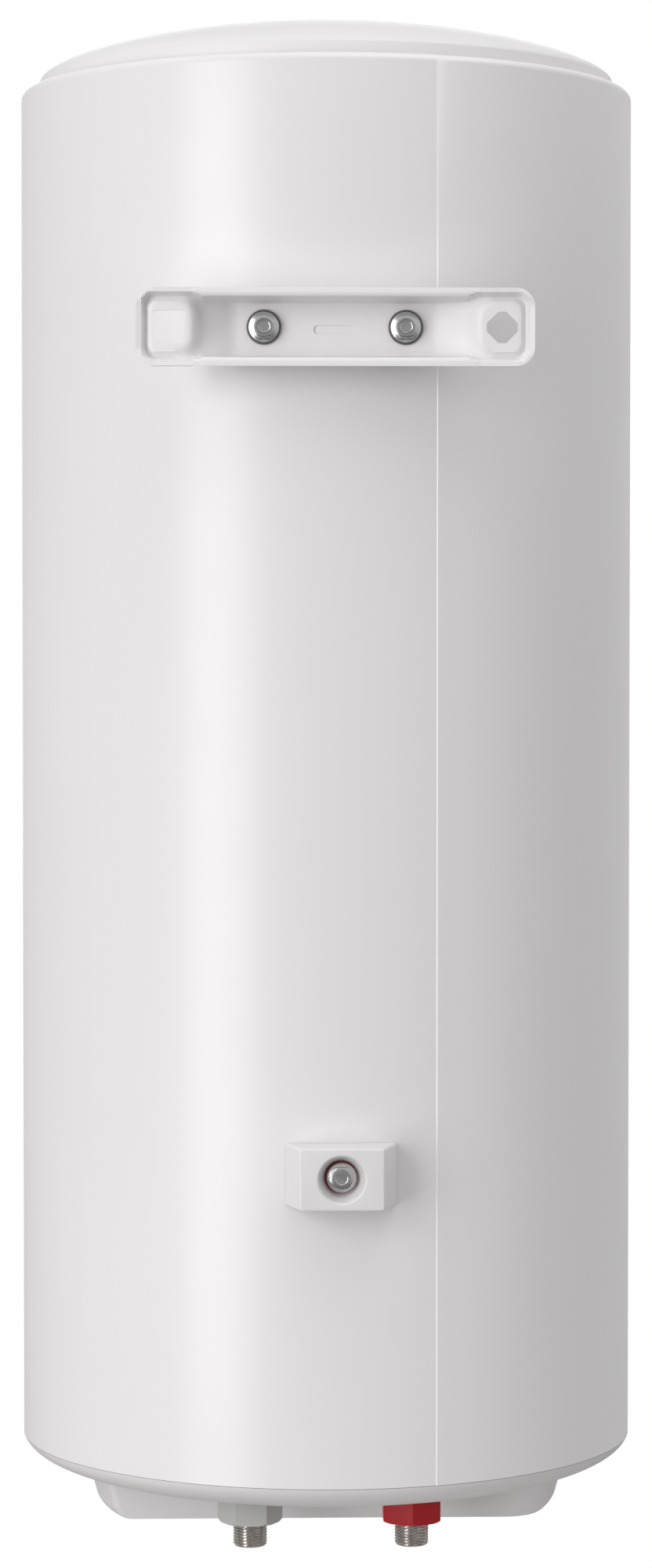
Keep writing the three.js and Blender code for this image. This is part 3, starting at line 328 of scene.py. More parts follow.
def arc(x: float, y: float, radius: float, start: float, end: float, steps: int) -> list[Point]:
    """Lists points along an arc, both ends included.

    Args:
        x: The centre's place across.
        y: The centre's place up.
        radius: The arc's radius.
        start: The angle where it starts.
        end: The angle where it ends.
        steps: Straight pieces in it.

    Returns:
        The points.
    """
    angles = [start + (end - start) * i / steps for i in range(steps + 1)]
    return [(x + radius * math.cos(angle), y + radius * math.sin(angle)) for angle in angles]


def rectangle(width: float, height: float, radius: float, arc_steps: int = 6) -> Outline:
    """Gives a rectangle about its centre, with round corners.

    Args:
        width: Its size across.
        height: Its size up.
        radius: The radius of its corners.
        arc_steps: Straight pieces in each corner.

    Returns:
        The outline.
    """
    signs = ((1, -1), (1, 1), (-1, 1), (-1, -1))
    corners = [Corner(x * width / 2, y * height / 2, radius) for x, y in signs]
    return Outline(corners, arc_steps=arc_steps)


def polygon(across_flats: float, sides: int, start: float, radius: float = 0.0) -> Outline:
    """Gives a regular polygon about its centre.

    Args:
        across_flats: The distance between two opposite sides.
        sides: How many sides it has.
        start: The angle of its first corner.
        radius: The radius of its corners.

    Returns:
        The outline.
    """
    reach = across_flats / 2 / math.cos(math.pi / sides)
    angles = [start + FULL_TURN * i / sides for i in range(sides)]
    return Outline([Corner(reach * math.cos(a), reach * math.sin(a), radius) for a in angles], arc_steps=4)


def revolve(profile: Sequence[Point], steps: int = 96, closed: bool = True) -> bmesh.types.BMesh:
    """Turns a profile of (radius, height) about Z.

    Args:
        profile: The points; an open profile starts and ends on the axis.
        steps: Faces round the axis.
        closed: Whether the last point joins the first.

    Returns:
        The closed solid.
    """
    bm = bmesh.new()
    verts = [bm.verts.new((radius, 0, height)) for radius, height in profile]
    pairs = list(zip(verts, verts[1:]))
    if closed:
        pairs.append((verts[-1], verts[0]))
    edges = [bm.edges.new(pair) for pair in pairs]
    bmesh.ops.spin(bm, geom=verts + edges, cent=(0, 0, 0), axis=(0, 0, 1), angle=FULL_TURN, steps=steps,
                   use_merge=True)
    return tidied(bm)


def plug(radius: float, low: float, high: float, steps: int) -> bmesh.types.BMesh:
    """A solid cylinder about Z between two heights."""
    return revolve([(0, low), (radius, low), (radius, high), (0, high)], steps, closed=False)


def sliced(bm: bmesh.types.BMesh, place: Sequence[float], normal: Sequence[float]) -> None:
    """Cuts every face of a solid along one plane."""
    bmesh.ops.bisect_plane(bm, geom=bm.verts[:] + bm.edges[:] + bm.faces[:], dist=MERGE_GAP,
                           plane_co=place, plane_no=normal)


def widen(vert: bmesh.types.BMVert, growth: float) -> None:
    """Moves a vertex to or from the axis by a factor."""
    vert.co.x *= growth
    vert.co.y *= growth


def prism(outline: Outline, low: float, high: float, low_edge: float = 0.0, high_edge: float = 0.0,
          segments: int = 3) -> bmesh.types.BMesh:
    """Raises an outline along Z into a solid, with its end edges rounded.

    Args:
        outline: The outline, across and up.
        low: Where it starts.
        high: Where it ends.
        low_edge: The rounding of its lower edge.
        high_edge: The rounding of its upper edge.
        segments: Straight pieces in each rounding.

    Returns:
        The closed solid.
    """
    bm = bmesh.new()
    base = bm.faces.new([bm.verts.new((x, y, low)) for x, y in outline.points()])
    made = bmesh.ops.extrude_face_region(bm, geom=[base], use_keep_orig=True)["geom"]
    top = [v for v in made if isinstance(v, bmesh.types.BMVert)]
    bmesh.ops.translate(bm, verts=top, vec=(0, 0, high - low))
    tidied(bm)
    for height, edge in ((low, low_edge), (high, high_edge)):
        if edge > 0:
            rim = [e for e in bm.edges if all(abs(v.co.z - height) < MERGE_GAP for v in e.verts)]
            rounded_edges(bm, rim, edge, segments)
    return bm


def rounded_edges(bm: bmesh.types.BMesh, edges: Sequence[bmesh.types.BMEdge], size: float,
                  segments: int = 3) -> None:
    """Rounds edges of a solid.

    Args:
        bm: The solid.
        edges: The edges to round.
        size: The width that the rounding takes on each side.
        segments: Straight pieces in the rounding.
    """
    bmesh.ops.bevel(bm, geom=list(edges), offset=size, segments=segments, affect="EDGES", profile=0.5,
                    material=-1, clamp_overlap=True)


def tidied(bm: bmesh.types.BMesh) -> bmesh.types.BMesh:
    """Merges doubles and turns every face outwards.

    Args:
        bm: The solid.

    Returns:
        The same solid.
    """
    bmesh.ops.remove_doubles(bm, verts=bm.verts, dist=MERGE_GAP)
    bmesh.ops.dissolve_degenerate(bm, edges=bm.edges, dist=MERGE_GAP)
    bmesh.ops.recalc_face_normals(bm, faces=bm.faces)
    return bm


def moved(bm: bmesh.types.BMesh, *steps: Matrix) -> bmesh.types.BMesh:
    """Moves a solid through one or more steps.

    Args:
        bm: The solid.
        steps: The steps, first one first.

    Returns:
        The same solid.
    """
    for step in steps:
        bmesh.ops.transform(bm, matrix=step, verts=bm.verts)
    return bm


def shift(x: float, y: float, z: float) -> Matrix:
    """A step along the axes."""
    return Matrix.Translation((x, y, z))


TOWARDS_WALL = Matrix.Rotation(math.pi / 2, 4, "X")
UPSIDE_DOWN = Matrix.Rotation(math.pi, 4, "X")


class Piece:
    """One piece of the heater, from its first solid to its finish."""

    def __init__(self, name: str, bm: bmesh.types.BMesh) -> None:
        """Makes the object from its first solid.

        Args:
            name: The piece's name.
            bm: The solid, which is used up.
        """
        mesh = bpy.data.meshes.new(name)
        bm.to_mesh(mesh)
        bm.free()
        self.obj = bpy.data.objects.new(name, mesh)
        bpy.context.scene.collection.objects.link(self.obj)

    def cut(self, how: Cut, *tools: bmesh.types.BMesh) -> "Piece":
        """Changes the piece by other solids, one after the other.

        Args:
            how: Whether they are taken away, joined or kept.
            tools: The solids, which are used up.

        Returns:
            The piece.
        """
        for bm in tools:
            tool = Piece("tool", bm).obj
            step = self.obj.modifiers.new("cut", "BOOLEAN")
            step.operation = how.value
            step.solver = "EXACT"
            step.object = tool
            self._apply()
            bpy.data.meshes.remove(tool.data)
        return self

    def sheet(self, thickness: float) -> "Piece":
        """Gives an open surface a wall, on the side that its faces look away from.

        Args:
            thickness: The wall's thickness.

        Returns:
            The piece.
        """
        step = self.obj.modifiers.new("wall", "SOLIDIFY")
        step.thickness = thickness
        step.offset = -1
        step.use_even_offset = True
        self._apply()
        return self

    def _apply(self) -> None:
        """Bakes the modifiers into the mesh."""
        graph = bpy.context.evaluated_depsgraph_get()
        graph.update()
        mesh = bpy.data.meshes.new_from_object(self.obj.evaluated_get(graph))
        old = self.obj.data
        self.obj.modifiers.clear()
        self.obj.data = mesh
        bpy.data.meshes.remove(old)

    def done(self, finish: Finish, slot: str, body: str, *nodes: str) -> "Piece":
        """Smooths, dresses and places the piece on its body.

        Args:
            finish: Its finish.
            slot: The record's material slot; not used.
            body: The body that it moves with.
            nodes: The nodes that it stands for.

        Returns:
            The piece.
        """
        mesh = self.obj.data
        bm = bmesh.new()
        bm.from_mesh(mesh)
        bmesh.ops.remove_doubles(bm, verts=bm.verts, dist=MERGE_GAP)
        for face in bm.faces:
            face.smooth = True
            face.material_index = 0
        for edge in bm.edges:
            edge.smooth = edge.calc_face_angle(0.0) < SHARP_ANGLE
        bm.to_mesh(mesh)
        bm.free()
        mesh.name = self.obj.name
        mesh.materials.clear()
        mesh.materials.append(finish.material())
        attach(self.obj, body)
        if nodes:
            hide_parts(*nodes)
        log.info("%s: %d faces, %s, on %s", self.obj.name, len(mesh.polygons), finish.name, body)
        return self


# ---------------------------------------------------------------- the heater's own frame


@dataclass(frozen=True)
class Heater:
    """Where the heater stands, taken from its jacket's box."""

    axis_x: float
    axis_y: float
    foot: float
    radius: float
    height: float

    @classmethod
    def from_frame(cls) -> "Heater":
        """Reads the jacket's box.

        Returns:
            The heater's frame.
        """
        low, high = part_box("jacket")
        return cls((low.x + high.x) / 2, (low.y + high.y) / 2, low.z, (high.x - low.x) / 2, high.z - low.z)

    @property
    def stand(self) -> Matrix:
        """The step from the heater's own frame to the row frame."""
        return shift(self.axis_x, self.axis_y, self.foot)


# ---------------------------------------------------------------- casing


@dataclass
class Casing:
    """The enamelled jacket and the two plastic caps."""

    heater: Heater
    round_steps: int = 160
    sheet: float = 0.8 * MM
    edge_radius: float = 5 * MM
    seam_angle: float = math.radians(18.3)
    seam_fade: float = 26 * MM
    seam_proud: float = 0.55 * MM
    seam_slope: float = 0.6 * MM
    boss_hole: float = 9.3 * MM
    boss_reach: float = 14 * MM
    top_wall: float = 2 * MM
    top_inset: float = 12 * MM
    top_side: float = 7.5 * MM
    groove: float = 0.6 * MM
    dome_across: float = 1.54
    dome_up: float = 1.59
    bottom_wall: float = 2 * MM
    pad_height: float = 1.4 * MM
    pad_border: float = 4 * MM
    post_radius: float = 5.5 * MM
    post_foot: float = 0.6 * MM
    post_pilot: float = 2 * MM
    pilot_end: float = 9 * MM
    pilot_tip: float = MM
    drill_reach: float = 100 * MM
    flange_hole: float = 58 * MM
    skirt: float = 10 * MM
    belly_in: float = 4.5 * MM
    belly_up: float = 6 * MM

    def jacket(self, boss_places: Sequence[Point]) -> None:
        """Makes the jacket: a rolled top edge, a lapped seam and the holes for the mounting bosses.

        Args:
            boss_places: Where the bosses are, across and up from the hanging holes.
        """
        radius, height = self.heater.radius, self.heater.height
        lip = radius - self.top_inset + FIT_GAP
        profile = Outline([
            Corner(radius, 0),
            Corner(radius, height, self.edge_radius),
            Corner(lip, height, self.sheet / 2),
            Corner(lip, height - self.sheet),
            Corner(radius - self.sheet, height - self.sheet, self.edge_radius - self.sheet),
            Corner(radius - self.sheet, 0),
        ])
        bm = profile.turned(self.round_steps)
        self._press_seam(bm)
        for _, up in boss_places:
            for level in (up - self.boss_reach, up + self.boss_reach):
                sliced(bm, (0, 0, level - self.heater.foot), (0, 0, 1))
        moved(bm, self.heater.stand)
        holes = []
        for x, up in boss_places:
            hole = prism(polygon(2 * self.boss_hole, 40, 0), 0, radius + self.boss_reach)
            holes.append(moved(hole, TOWARDS_WALL, shift(x, self.heater.axis_y, up)))
        Piece("enamelled_jacket", bm).cut(Cut.AWAY, *holes).done(ENAMEL, "white_enamel", "root", "jacket")

    def _press_seam(self, bm: bmesh.types.BMesh) -> None:
        """Steps the sheet out where its edge laps over itself, and lets it sink back round the jacket.

        Args:
            bm: The turned jacket.
        """
        start = self.seam_angle - math.pi / 2
        slope = self.seam_slope / self.heater.radius
        fade = self.seam_fade / self.heater.radius
        fade_steps = 4
        angles = [start, *(start + slope + fade * i / fade_steps for i in range(fade_steps + 1))]
        for angle in angles:
            near = [f for f in bm.faces if abs(self._angle_from(f.calc_center_median(), start)) < 2 * fade]
            geom = list({e for f in near for e in f.edges}) + list({v for f in near for v in f.verts}) + near
            bmesh.ops.bisect_plane(bm, geom=geom, dist=MERGE_GAP, plane_co=(0, 0, 0),
                                   plane_no=(-math.sin(angle), math.cos(angle), 0))
        top = self.heater.height - self.edge_radius
        wall = self.heater.radius - self.sheet / 2
        for vert in bm.verts:
            across = math.hypot(vert.co.x, vert.co.y)
            past = self._angle_from(vert.co, start) - slope
            if across > wall and vert.co.z <= top + MERGE_GAP and -slope / 2 < past < fade:
                widen(vert, 1 + self.seam_proud * (1 - max(past, 0.0) / fade) ** 2 / across)

    @staticmethod
    def _angle_from(place: Vector, middle: float) -> float:
        """The angle round Z from a direction to a place."""
        turn = math.atan2(place.y, place.x) - middle
        return math.atan2(math.sin(turn), math.cos(turn))

    def top_cap(self) -> None:
        """Makes the shallow dome that sits in the jacket's rolled edge."""
        low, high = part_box("top_cap")
        radius = self.heater.radius - self.top_inset
        base = self.heater.height + self.top_side
        rise = high.z - self.heater.foot - base
        floor = low.z - self.heater.foot
        inner = radius - self.top_wall
        profile = [
            *reversed(self._dome(inner, rise - self.top_wall, base)),
            (inner, floor),
            (radius, floor),
            (radius, self.heater.height - 4 * self.groove),
            (radius - self.groove, self.heater.height - 3 * self.groove),
            (radius - self.groove, self.heater.height + self.groove),
            (radius, self.heater.height + 2 * self.groove),
            *self._dome(radius, rise, base),
        ]
        bm = moved(revolve(profile, self.round_steps, closed=False), self.heater.stand)
        Piece("top_dome", bm).done(WHITE_PLASTIC, "white_plastic", "root", "top_cap")

    def _dome(self, radius: float, rise: float, base: float) -> list[Point]:
        """Gives the dome's curve from its side to the axis.

        Args:
            radius: Its radius where it starts.
            rise: How far it rises.
            base: The height where it starts.

        Returns:
            The points, from the side to the axis.
        """
        steps = 30
        angles = [math.pi / 2 * i / steps for i in range(steps)]
        across, up = 2 / self.dome_across, 2 / self.dome_up
        made = [(radius * math.cos(a) ** across, base + rise * math.sin(a) ** up) for a in angles]
        return [*made, (0.0, base + rise)]

    def bottom_cap(self, depth: float, flat: float, pipes: Sequence[Point], sleeve_corner: float,
                   neck_hole: float, posts: Sequence[Point], post_end: float) -> None:
        """Makes the round lower cap with its pipe pad and the posts for the cover's screws.

        Args:
            depth: How far the cap reaches below the jacket.
            flat: The radius of its flat middle.
            pipes: The pipes' places, in the heater's own frame.
            sleeve_corner: The distance from a pipe's middle to a corner of its sleeve.
            neck_hole: The radius of the hole for a sleeve's neck.
            posts: The posts' places, in the heater's own frame.
            post_end: The height where the posts end.
        """
        pipe_x, pipe_y = pipes[1]
        inside = self.heater.radius - self.sheet - FIT_GAP
        profile = [
            *self._belly(0, depth, flat),
            (self.flange_hole, -depth),
            (self.flange_hole, -depth + self.bottom_wall),
            *reversed(self._belly(self.bottom_wall, depth, flat)),
            (inside - self.bottom_wall, self.skirt),
            (inside, self.skirt),
            (inside, -FIT_GAP),
        ]
        size = 2 * (sleeve_corner + self.pad_border)
        pad = prism(rectangle(2 * pipe_x + size, size, size / 2 - 0.01 * MM, 16), -depth - self.pad_height,
                    -depth + self.bottom_wall / 2, low_edge=self.pad_height * 0.9, segments=5)
        root = -depth + self.bottom_wall / 2
        column = [(0, post_end), (self.post_radius, post_end), (self.post_radius + self.post_foot, root),
                  (0, root)]
        pilot = [(0, -self.drill_reach), (self.post_pilot, -self.drill_reach),
                 (self.post_pilot, root - self.pilot_end), (0, root - self.pilot_end + self.pilot_tip)]
        columns = [moved(revolve(column, 32, closed=False), shift(x, y, 0)) for x, y in posts]
        drills = [moved(revolve(pilot, 20, closed=False), shift(x, y, 0)) for x, y in posts]
        necks = [moved(plug(neck_hole, -self.drill_reach, 0, 48), shift(x, y, 0)) for x, y in pipes]
        piece = Piece("lower_cap", revolve(profile, self.round_steps))
        piece.cut(Cut.JOIN, moved(pad, shift(0, pipe_y, 0)), *columns)
        piece.cut(Cut.AWAY, *necks, *drills)
        piece.obj.data.transform(self.heater.stand)
        piece.done(WHITE_PLASTIC, "white_plastic", "root", "bottom_cap")

    def _belly(self, inset: float, depth: float, flat: float) -> list[Point]:
        """Gives the lower cap's curve from the jacket to its flat middle, moved inwards by an inset.

        Args:
            inset: How far it is moved in.
            depth: The cap's depth.
            flat: The radius of the flat middle.

        Returns:
            The points, from the jacket inwards.
        """
        steps = 16
        start = Vector((self.heater.radius - inset, -FIT_GAP))
        bulge = Vector((self.heater.radius - self.belly_in - inset, -(depth - self.belly_up - inset)))
        end = Vector((flat, -(depth - inset)))
        shares = [i / steps for i in range(steps + 1)]
        return [tuple(start * (1 - t) ** 2 + bulge * 2 * t * (1 - t) + end * t * t) for t in shares]


# ---------------------------------------------------------------- wall bracket and bolts


@dataclass
class WallBracket:
    """The pressed channel that the heater hangs from, and the holes in it."""

    width: float = 234 * MM
    height: float = 46 * MM
    corner: float = 11 * MM
    thickness: float = 2.2 * MM
    rim: float = 3.0 * MM
    rim_rings: tuple[float, ...] = (0.5 * MM, 1.4 * MM, 2.0 * MM, 2.5 * MM)
    rim_curl: float = 0.25 * MM
    rim_bend: float = 2.6 * MM
    wall_lean: float = 0.8 * MM
    floor_bend: float = 3.2 * MM
    bend_limit: float = 0.45
    end_tightness: float = 0.42
    softening: float = 3.2 * MM
    grid: float = 1.2 * MM
    floor_half: float = 60 * MM
    ramp_half: float = 78 * MM
    groove_half: float = 85 * MM
    pad_inner: float = 82.5 * MM
    pad_border: float = 6.8 * MM
    pad_corner: float = 6 * MM
    pad_inner_corner: float = 11 * MM
    pad_slope: float = 1.7 * MM
    pad_inner_slope: float = 4.08 * MM
    pad_depth: float = 3.5 * MM
    groove_depth: float = 6.6 * MM
    ramp_depth: float = 13 * MM
    floor_depth: float = 22.5 * MM
    hole_pitch: float = 196 * MM
    square: float = 19.6 * MM
    square_corner: float = 2.5 * MM
    diamond_half: float = 9.2 * MM
    diamond_clip: float = 2.4 * MM
    diamond_corner: float = 1.2 * MM
    slot_length: float = 25 * MM
    slot_width: float = 5.5 * MM
    slot_depth: float = 0.9 * MM
    bolt_hole: float = 4.6 * MM

    def _depth_at(self, across: float, up: float) -> float:
        """Gives the depth of the sheet behind the wall plane, with its bends softened and its pads raised.

        Args:
            across: The place across, from the middle.
            up: The place up, from the middle.

        Returns:
            The depth.
        """
        samples = 9
        places = [abs(across) + self.softening * (2 * i / (samples - 1) - 1) for i in range(samples)]
        channel = sum(self._plain_depth(place) for place in places) / samples
        return channel + (self.pad_depth - channel) * self._on_pad(abs(across), up)

    def _on_pad(self, across: float, up: float) -> float:
        """Tells how far a place is up on the raised pad round a hanging hole.

        Args:
            across: The place across, from the middle.
            up: The place up, from the middle.

        Returns:
            0 in the channel, 1 on the pad, and between them on its round side.
        """
        outer = self.width / 2 - self.pad_border
        middle, half = (outer + self.pad_inner) / 2, (outer - self.pad_inner) / 2
        inner_end = across < middle
        corner = self.pad_inner_corner if inner_end else self.pad_corner
        x = abs(across - middle) - (half - corner)
        z = abs(up) - (self.height / 2 - self.pad_border - corner)
        outside = math.hypot(max(x, 0.0), max(z, 0.0)) + min(max(x, z), 0.0) - corner
        slope = self.pad_inner_slope if inner_end and x > 0 else self.pad_slope
        share = min(max(0.5 - outside / (2 * slope), 0.0), 1.0)
        return share * share * (3 - 2 * share)

    def _plain_depth(self, across: float) -> float:
        """Gives the depth of the channel with sharp bends.

        Args:
            across: The place across, from the middle.

        Returns:
            The depth.
        """
        stations = [
            (0.0, self.floor_depth),
            (self.floor_half, self.floor_depth),
            (self.ramp_half, self.ramp_depth),
            (self.groove_half, self.groove_depth),
            (self.width, self.groove_depth),
        ]
        for (near, deep), (far, shallow) in zip(stations, stations[1:]):
            if across <= far:
                share = (across - near) / (far - near)
                return deep + (shallow - deep) * share
        return self.groove_depth

    def build(self, bolt_places: Sequence[Point]) -> None:
        """Presses the channel, gives it its wall and punches its holes.

        Args:
            bolt_places: Where the bolts go through, across and up from the middle.
        """
        bm = bmesh.new()
        outline = rectangle(self.width, self.height, self.corner, 10)
        face = bm.faces.new([bm.verts.new((x, 0, z)) for x, z in outline.points()])
        rings = self._inset_rings(bm, face)
        self._slice(bm)
        self._press(bm, rings)
        bmesh.ops.recalc_face_normals(bm, faces=bm.faces)
        bm.normal_update()
        if sum(face.normal.y for face in bm.faces) > 0:
            bmesh.ops.reverse_faces(bm, faces=bm.faces)
        piece = Piece("hanging_bracket", bm).sheet(self.thickness)
        piece.cut(Cut.AWAY, *self._punches(bolt_places))
        piece.done(BRACKET_PAINT, "white_enamel", "root", "wall_bracket")

    def _inset_rings(self, bm: bmesh.types.BMesh, face: bmesh.types.BMFace) -> list[float]:
        """Insets the sheet's face where its bends come.

        Args:
            bm: The flat sheet.
            face: Its one face.

        Returns:
            The distance in from the edge at each ring.
        """
        bend_steps = 5
        places = [*self.rim_rings, self.rim]
        places += [self.rim + self.rim_bend * i / bend_steps for i in range(1, bend_steps + 1)]
        foot = self.rim + self.rim_bend + self.wall_lean
        places += [foot + self.floor_bend * i / bend_steps for i in range(bend_steps + 1)]
        places.append(places[-1] + 0.9 * MM)
        last = 0.0
        for place in places:
            bmesh.ops.inset_region(bm, faces=[face], thickness=place - last, use_even_offset=True)
            last = place
        return places

    def _slice(self, bm: bmesh.types.BMesh) -> None:
        """Cuts the sheet into a fine grid over its ramps and pads, and coarsely along its floor.

        Args:
            bm: The sheet.
        """
        start, end = self.floor_half - 6 * MM, self.width / 2 - self.rim
        count = round((end - start) / self.grid)
        across = [start + self.grid * i for i in range(count + 1)] + [self.floor_half / 2]
        row_count = round((self.height / 2 - self.rim) / self.grid)
        for side in Side:
            for place in across:
                sliced(bm, (side.value * place, 0, 0), (1, 0, 0))
        sliced(bm, (0, 0, 0), (1, 0, 0))
        for i in range(-row_count, row_count + 1):
            sliced(bm, (0, 0, self.grid * i), (0, 0, 1))

    def _press(self, bm: bmesh.types.BMesh, rings: Sequence[float]) -> None:
        """Presses the flat sheet to its depth, with a round bend at the rim and at the floor.

        Args:
            bm: The sheet.
            rings: The distance in from the edge at each ring.
        """
        for vert in bm.verts:
            inward = self._inward(vert.co.x, vert.co.z)
            at_end = (abs(vert.co.x) - self.ramp_half) / (self.groove_half - self.ramp_half)
            width_share = 1 - self.end_tightness * min(max(at_end, 0.0), 1.0)
            vert.co.y = self._drop(inward, self._depth_at(vert.co.x, vert.co.z), width_share)
            if inward < rings[0] / 2:
                vert.co.y += self.rim_curl

    def _drop(self, inward: float, depth: float, width_share: float) -> float:
        """Goes from the rim to the floor through a bend, a steep wall and another bend.

        Args:
            inward: The distance in from the edge.
            depth: The floor's depth here.
            width_share: How wide the rim and its bends are here, as a share of their full width.

        Returns:
            The depth at this distance.
        """
        inward /= width_share
        rim_end = self.rim + self.rim_bend
        floor_start = rim_end + self.wall_lean
        first = min(self.rim_bend, depth * self.bend_limit)
        second = min(self.floor_bend, depth * self.bend_limit)
        if inward <= self.rim:
            return 0.0
        if inward <= rim_end:
            share = (inward - self.rim) / self.rim_bend
            return first * (1 - math.sqrt(max(1 - share * share, 0.0)))
        if inward < floor_start:
            share = (inward - rim_end) / self.wall_lean
            return first + (depth - second - first) * share
        share = max(1 - (inward - floor_start) / self.floor_bend, 0.0)
        return depth - second * (1 - math.sqrt(max(1 - share * share, 0.0)))

    def _inward(self, across: float, up: float) -> float:
        """Gives the distance of a place from the sheet's edge.

        Args:
            across: The place across, from the middle.
            up: The place up, from the middle.

        Returns:
            The distance in from the edge.
        """
        x = abs(across) - (self.width / 2 - self.corner)
        z = abs(up) - (self.height / 2 - self.corner)
        if x > 0 and z > 0:
            return self.corner - math.hypot(x, z)
        return self.corner - max(x, z)

    def _punches(self, bolt_places: Sequence[Point]) -> list[bmesh.types.BMesh]:
        """Makes the cutters of the two hanging holes, the slot and the bolt holes.

        Args:
            bolt_places: Where the bolts go through, across and up from the middle.

        Returns:
            The cutters.
        """
        tips = [(1, 0), (0, 1), (-1, 0), (0, -1)]
        diamond = []
        for x, z in tips:
            for side in (-1, 1):
                clip = side * self.diamond_clip
                tip = (x * self.diamond_half - z * clip, z * self.diamond_half + x * clip)
                diamond.append(Corner(*tip, self.diamond_corner))
        square = rectangle(self.square, self.square, self.square_corner, 8)
        slot = rectangle(self.slot_length, self.slot_width, self.slot_width / 2 - 0.01 * MM, 10)
        round_hole = polygon(2 * self.bolt_hole, 32, 0)
        through = 2 * self.floor_depth
        cutters = [
            self._punch(square, (-self.hole_pitch / 2, 0), -MM, through),
            self._punch(Outline(diamond, arc_steps=4), (self.hole_pitch / 2, 0), -MM, through),
            self._punch(slot, (0, 0), self.pad_depth, self.floor_depth + self.slot_depth),
        ]
        for place in bolt_places:
            cutters.append(self._punch(round_hole, place, self.ramp_depth, 2 * through))
        return cutters

    @staticmethod
    def _punch(outline: Outline, place: Point, start: float, end: float) -> bmesh.types.BMesh:
        """A cutter that goes into the room between two depths."""
        return moved(prism(outline, -end, -start), TOWARDS_WALL, shift(place[0], 0, place[1]))


@dataclass
class MountBolt:
    """A flanged hexagon bolt with a dished head, its washer and its seat."""

    radius: float = 4 * MM
    across_flats: float = 13 * MM
    flange_radius: float = 9 * MM
    flange_height: float = 1.4 * MM
    hex_height: float = 4.2 * MM
    dish_radius: float = 5.1 * MM
    dish_depth: float = 1.3 * MM
    dish_lean: float = 1.6 * MM
    crown_drop: float = 1.3 * MM
    crown_in: float = 1.1 * MM
    hole_slack: float = 0.6 * MM

    def bolt(self, name: str, node: str) -> None:
        """Makes one bolt where its node is.

        Args:
            name: The piece's name.
            node: The node that it stands for.
        """
        low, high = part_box(node)
        top = high.y - low.y
        seat = self.flange_height + self.hex_height
        shank_end = seat - top
        shank = Outline([
            Corner(0, shank_end),
            Corner(self.radius, shank_end, 0.8 * MM),
            Corner(self.radius, 0, 0.3 * MM),
            Corner(self.flange_radius, 0, 0.2 * MM),
            Corner(self.flange_radius, self.flange_height * 0.7, 0.35 * MM),
            Corner(self.across_flats / 2, self.flange_height * 1.2, 0.6 * MM),
            Corner(self.across_flats / 2 - MM, self.flange_height * 2),
            Corner(0, self.flange_height * 2),
        ], closed=False, arc_steps=4)
        hexagon = prism(polygon(self.across_flats, 6, 0, 0.35 * MM), self.flange_height / 2, seat)
        reach = self.across_flats / math.sqrt(3)
        crown = Outline([
            Corner(0, -MM),
            Corner(reach + MM, -MM),
            Corner(reach + MM, seat - self.crown_drop),
            Corner(reach - self.crown_in, seat),
            Corner(0, seat),
        ], closed=False)
        dish = Outline([
            Corner(0, seat - self.dish_depth),
            Corner(self.dish_radius + 0.2 * MM - self.dish_lean, seat - self.dish_depth, 0.9 * MM),
            Corner(self.dish_radius + 0.2 * MM, seat + MM),
            Corner(0, seat + MM),
        ], closed=False, arc_steps=4)
        piece = Piece(name, hexagon).cut(Cut.KEEP, crown.turned(64))
        piece.cut(Cut.JOIN, shank.turned(64)).cut(Cut.AWAY, dish.turned(48))
        middle = (low + high) / 2
        piece.obj.data.transform(shift(middle.x, low.y + seat, middle.z) @ TOWARDS_WALL)
        piece.done(ZINC, "zinc_steel", "root", node)

    def washer(self, name: str, node: str, finish: Finish, slot: str, slack: Point = (0.0, 0.0)) -> None:
        """Makes one washer where its node is.

        Args:
            name: The piece's name.
            node: The node that it stands for.
            finish: Its finish.
            slot: The record's material slot.
            slack: How far it sits off the bolt's middle, across and up.
        """
        low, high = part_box(node)
        hole = self.radius + self.hole_slack
        outer, thickness = (high.x - low.x) / 2, high.y - low.y
        ring = Outline([Corner(hole, 0, 0.1 * MM), Corner(outer, 0, 0.15 * MM),
                        Corner(outer, thickness, 0.3 * MM), Corner(hole, thickness, 0.2 * MM)], arc_steps=3)
        middle = (low + high) / 2
        bm = moved(ring.turned(64), TOWARDS_WALL,
                   shift(middle.x + slack[0], high.y, middle.z + slack[1]))
        Piece(name, bm).done(finish, slot, "root", node)


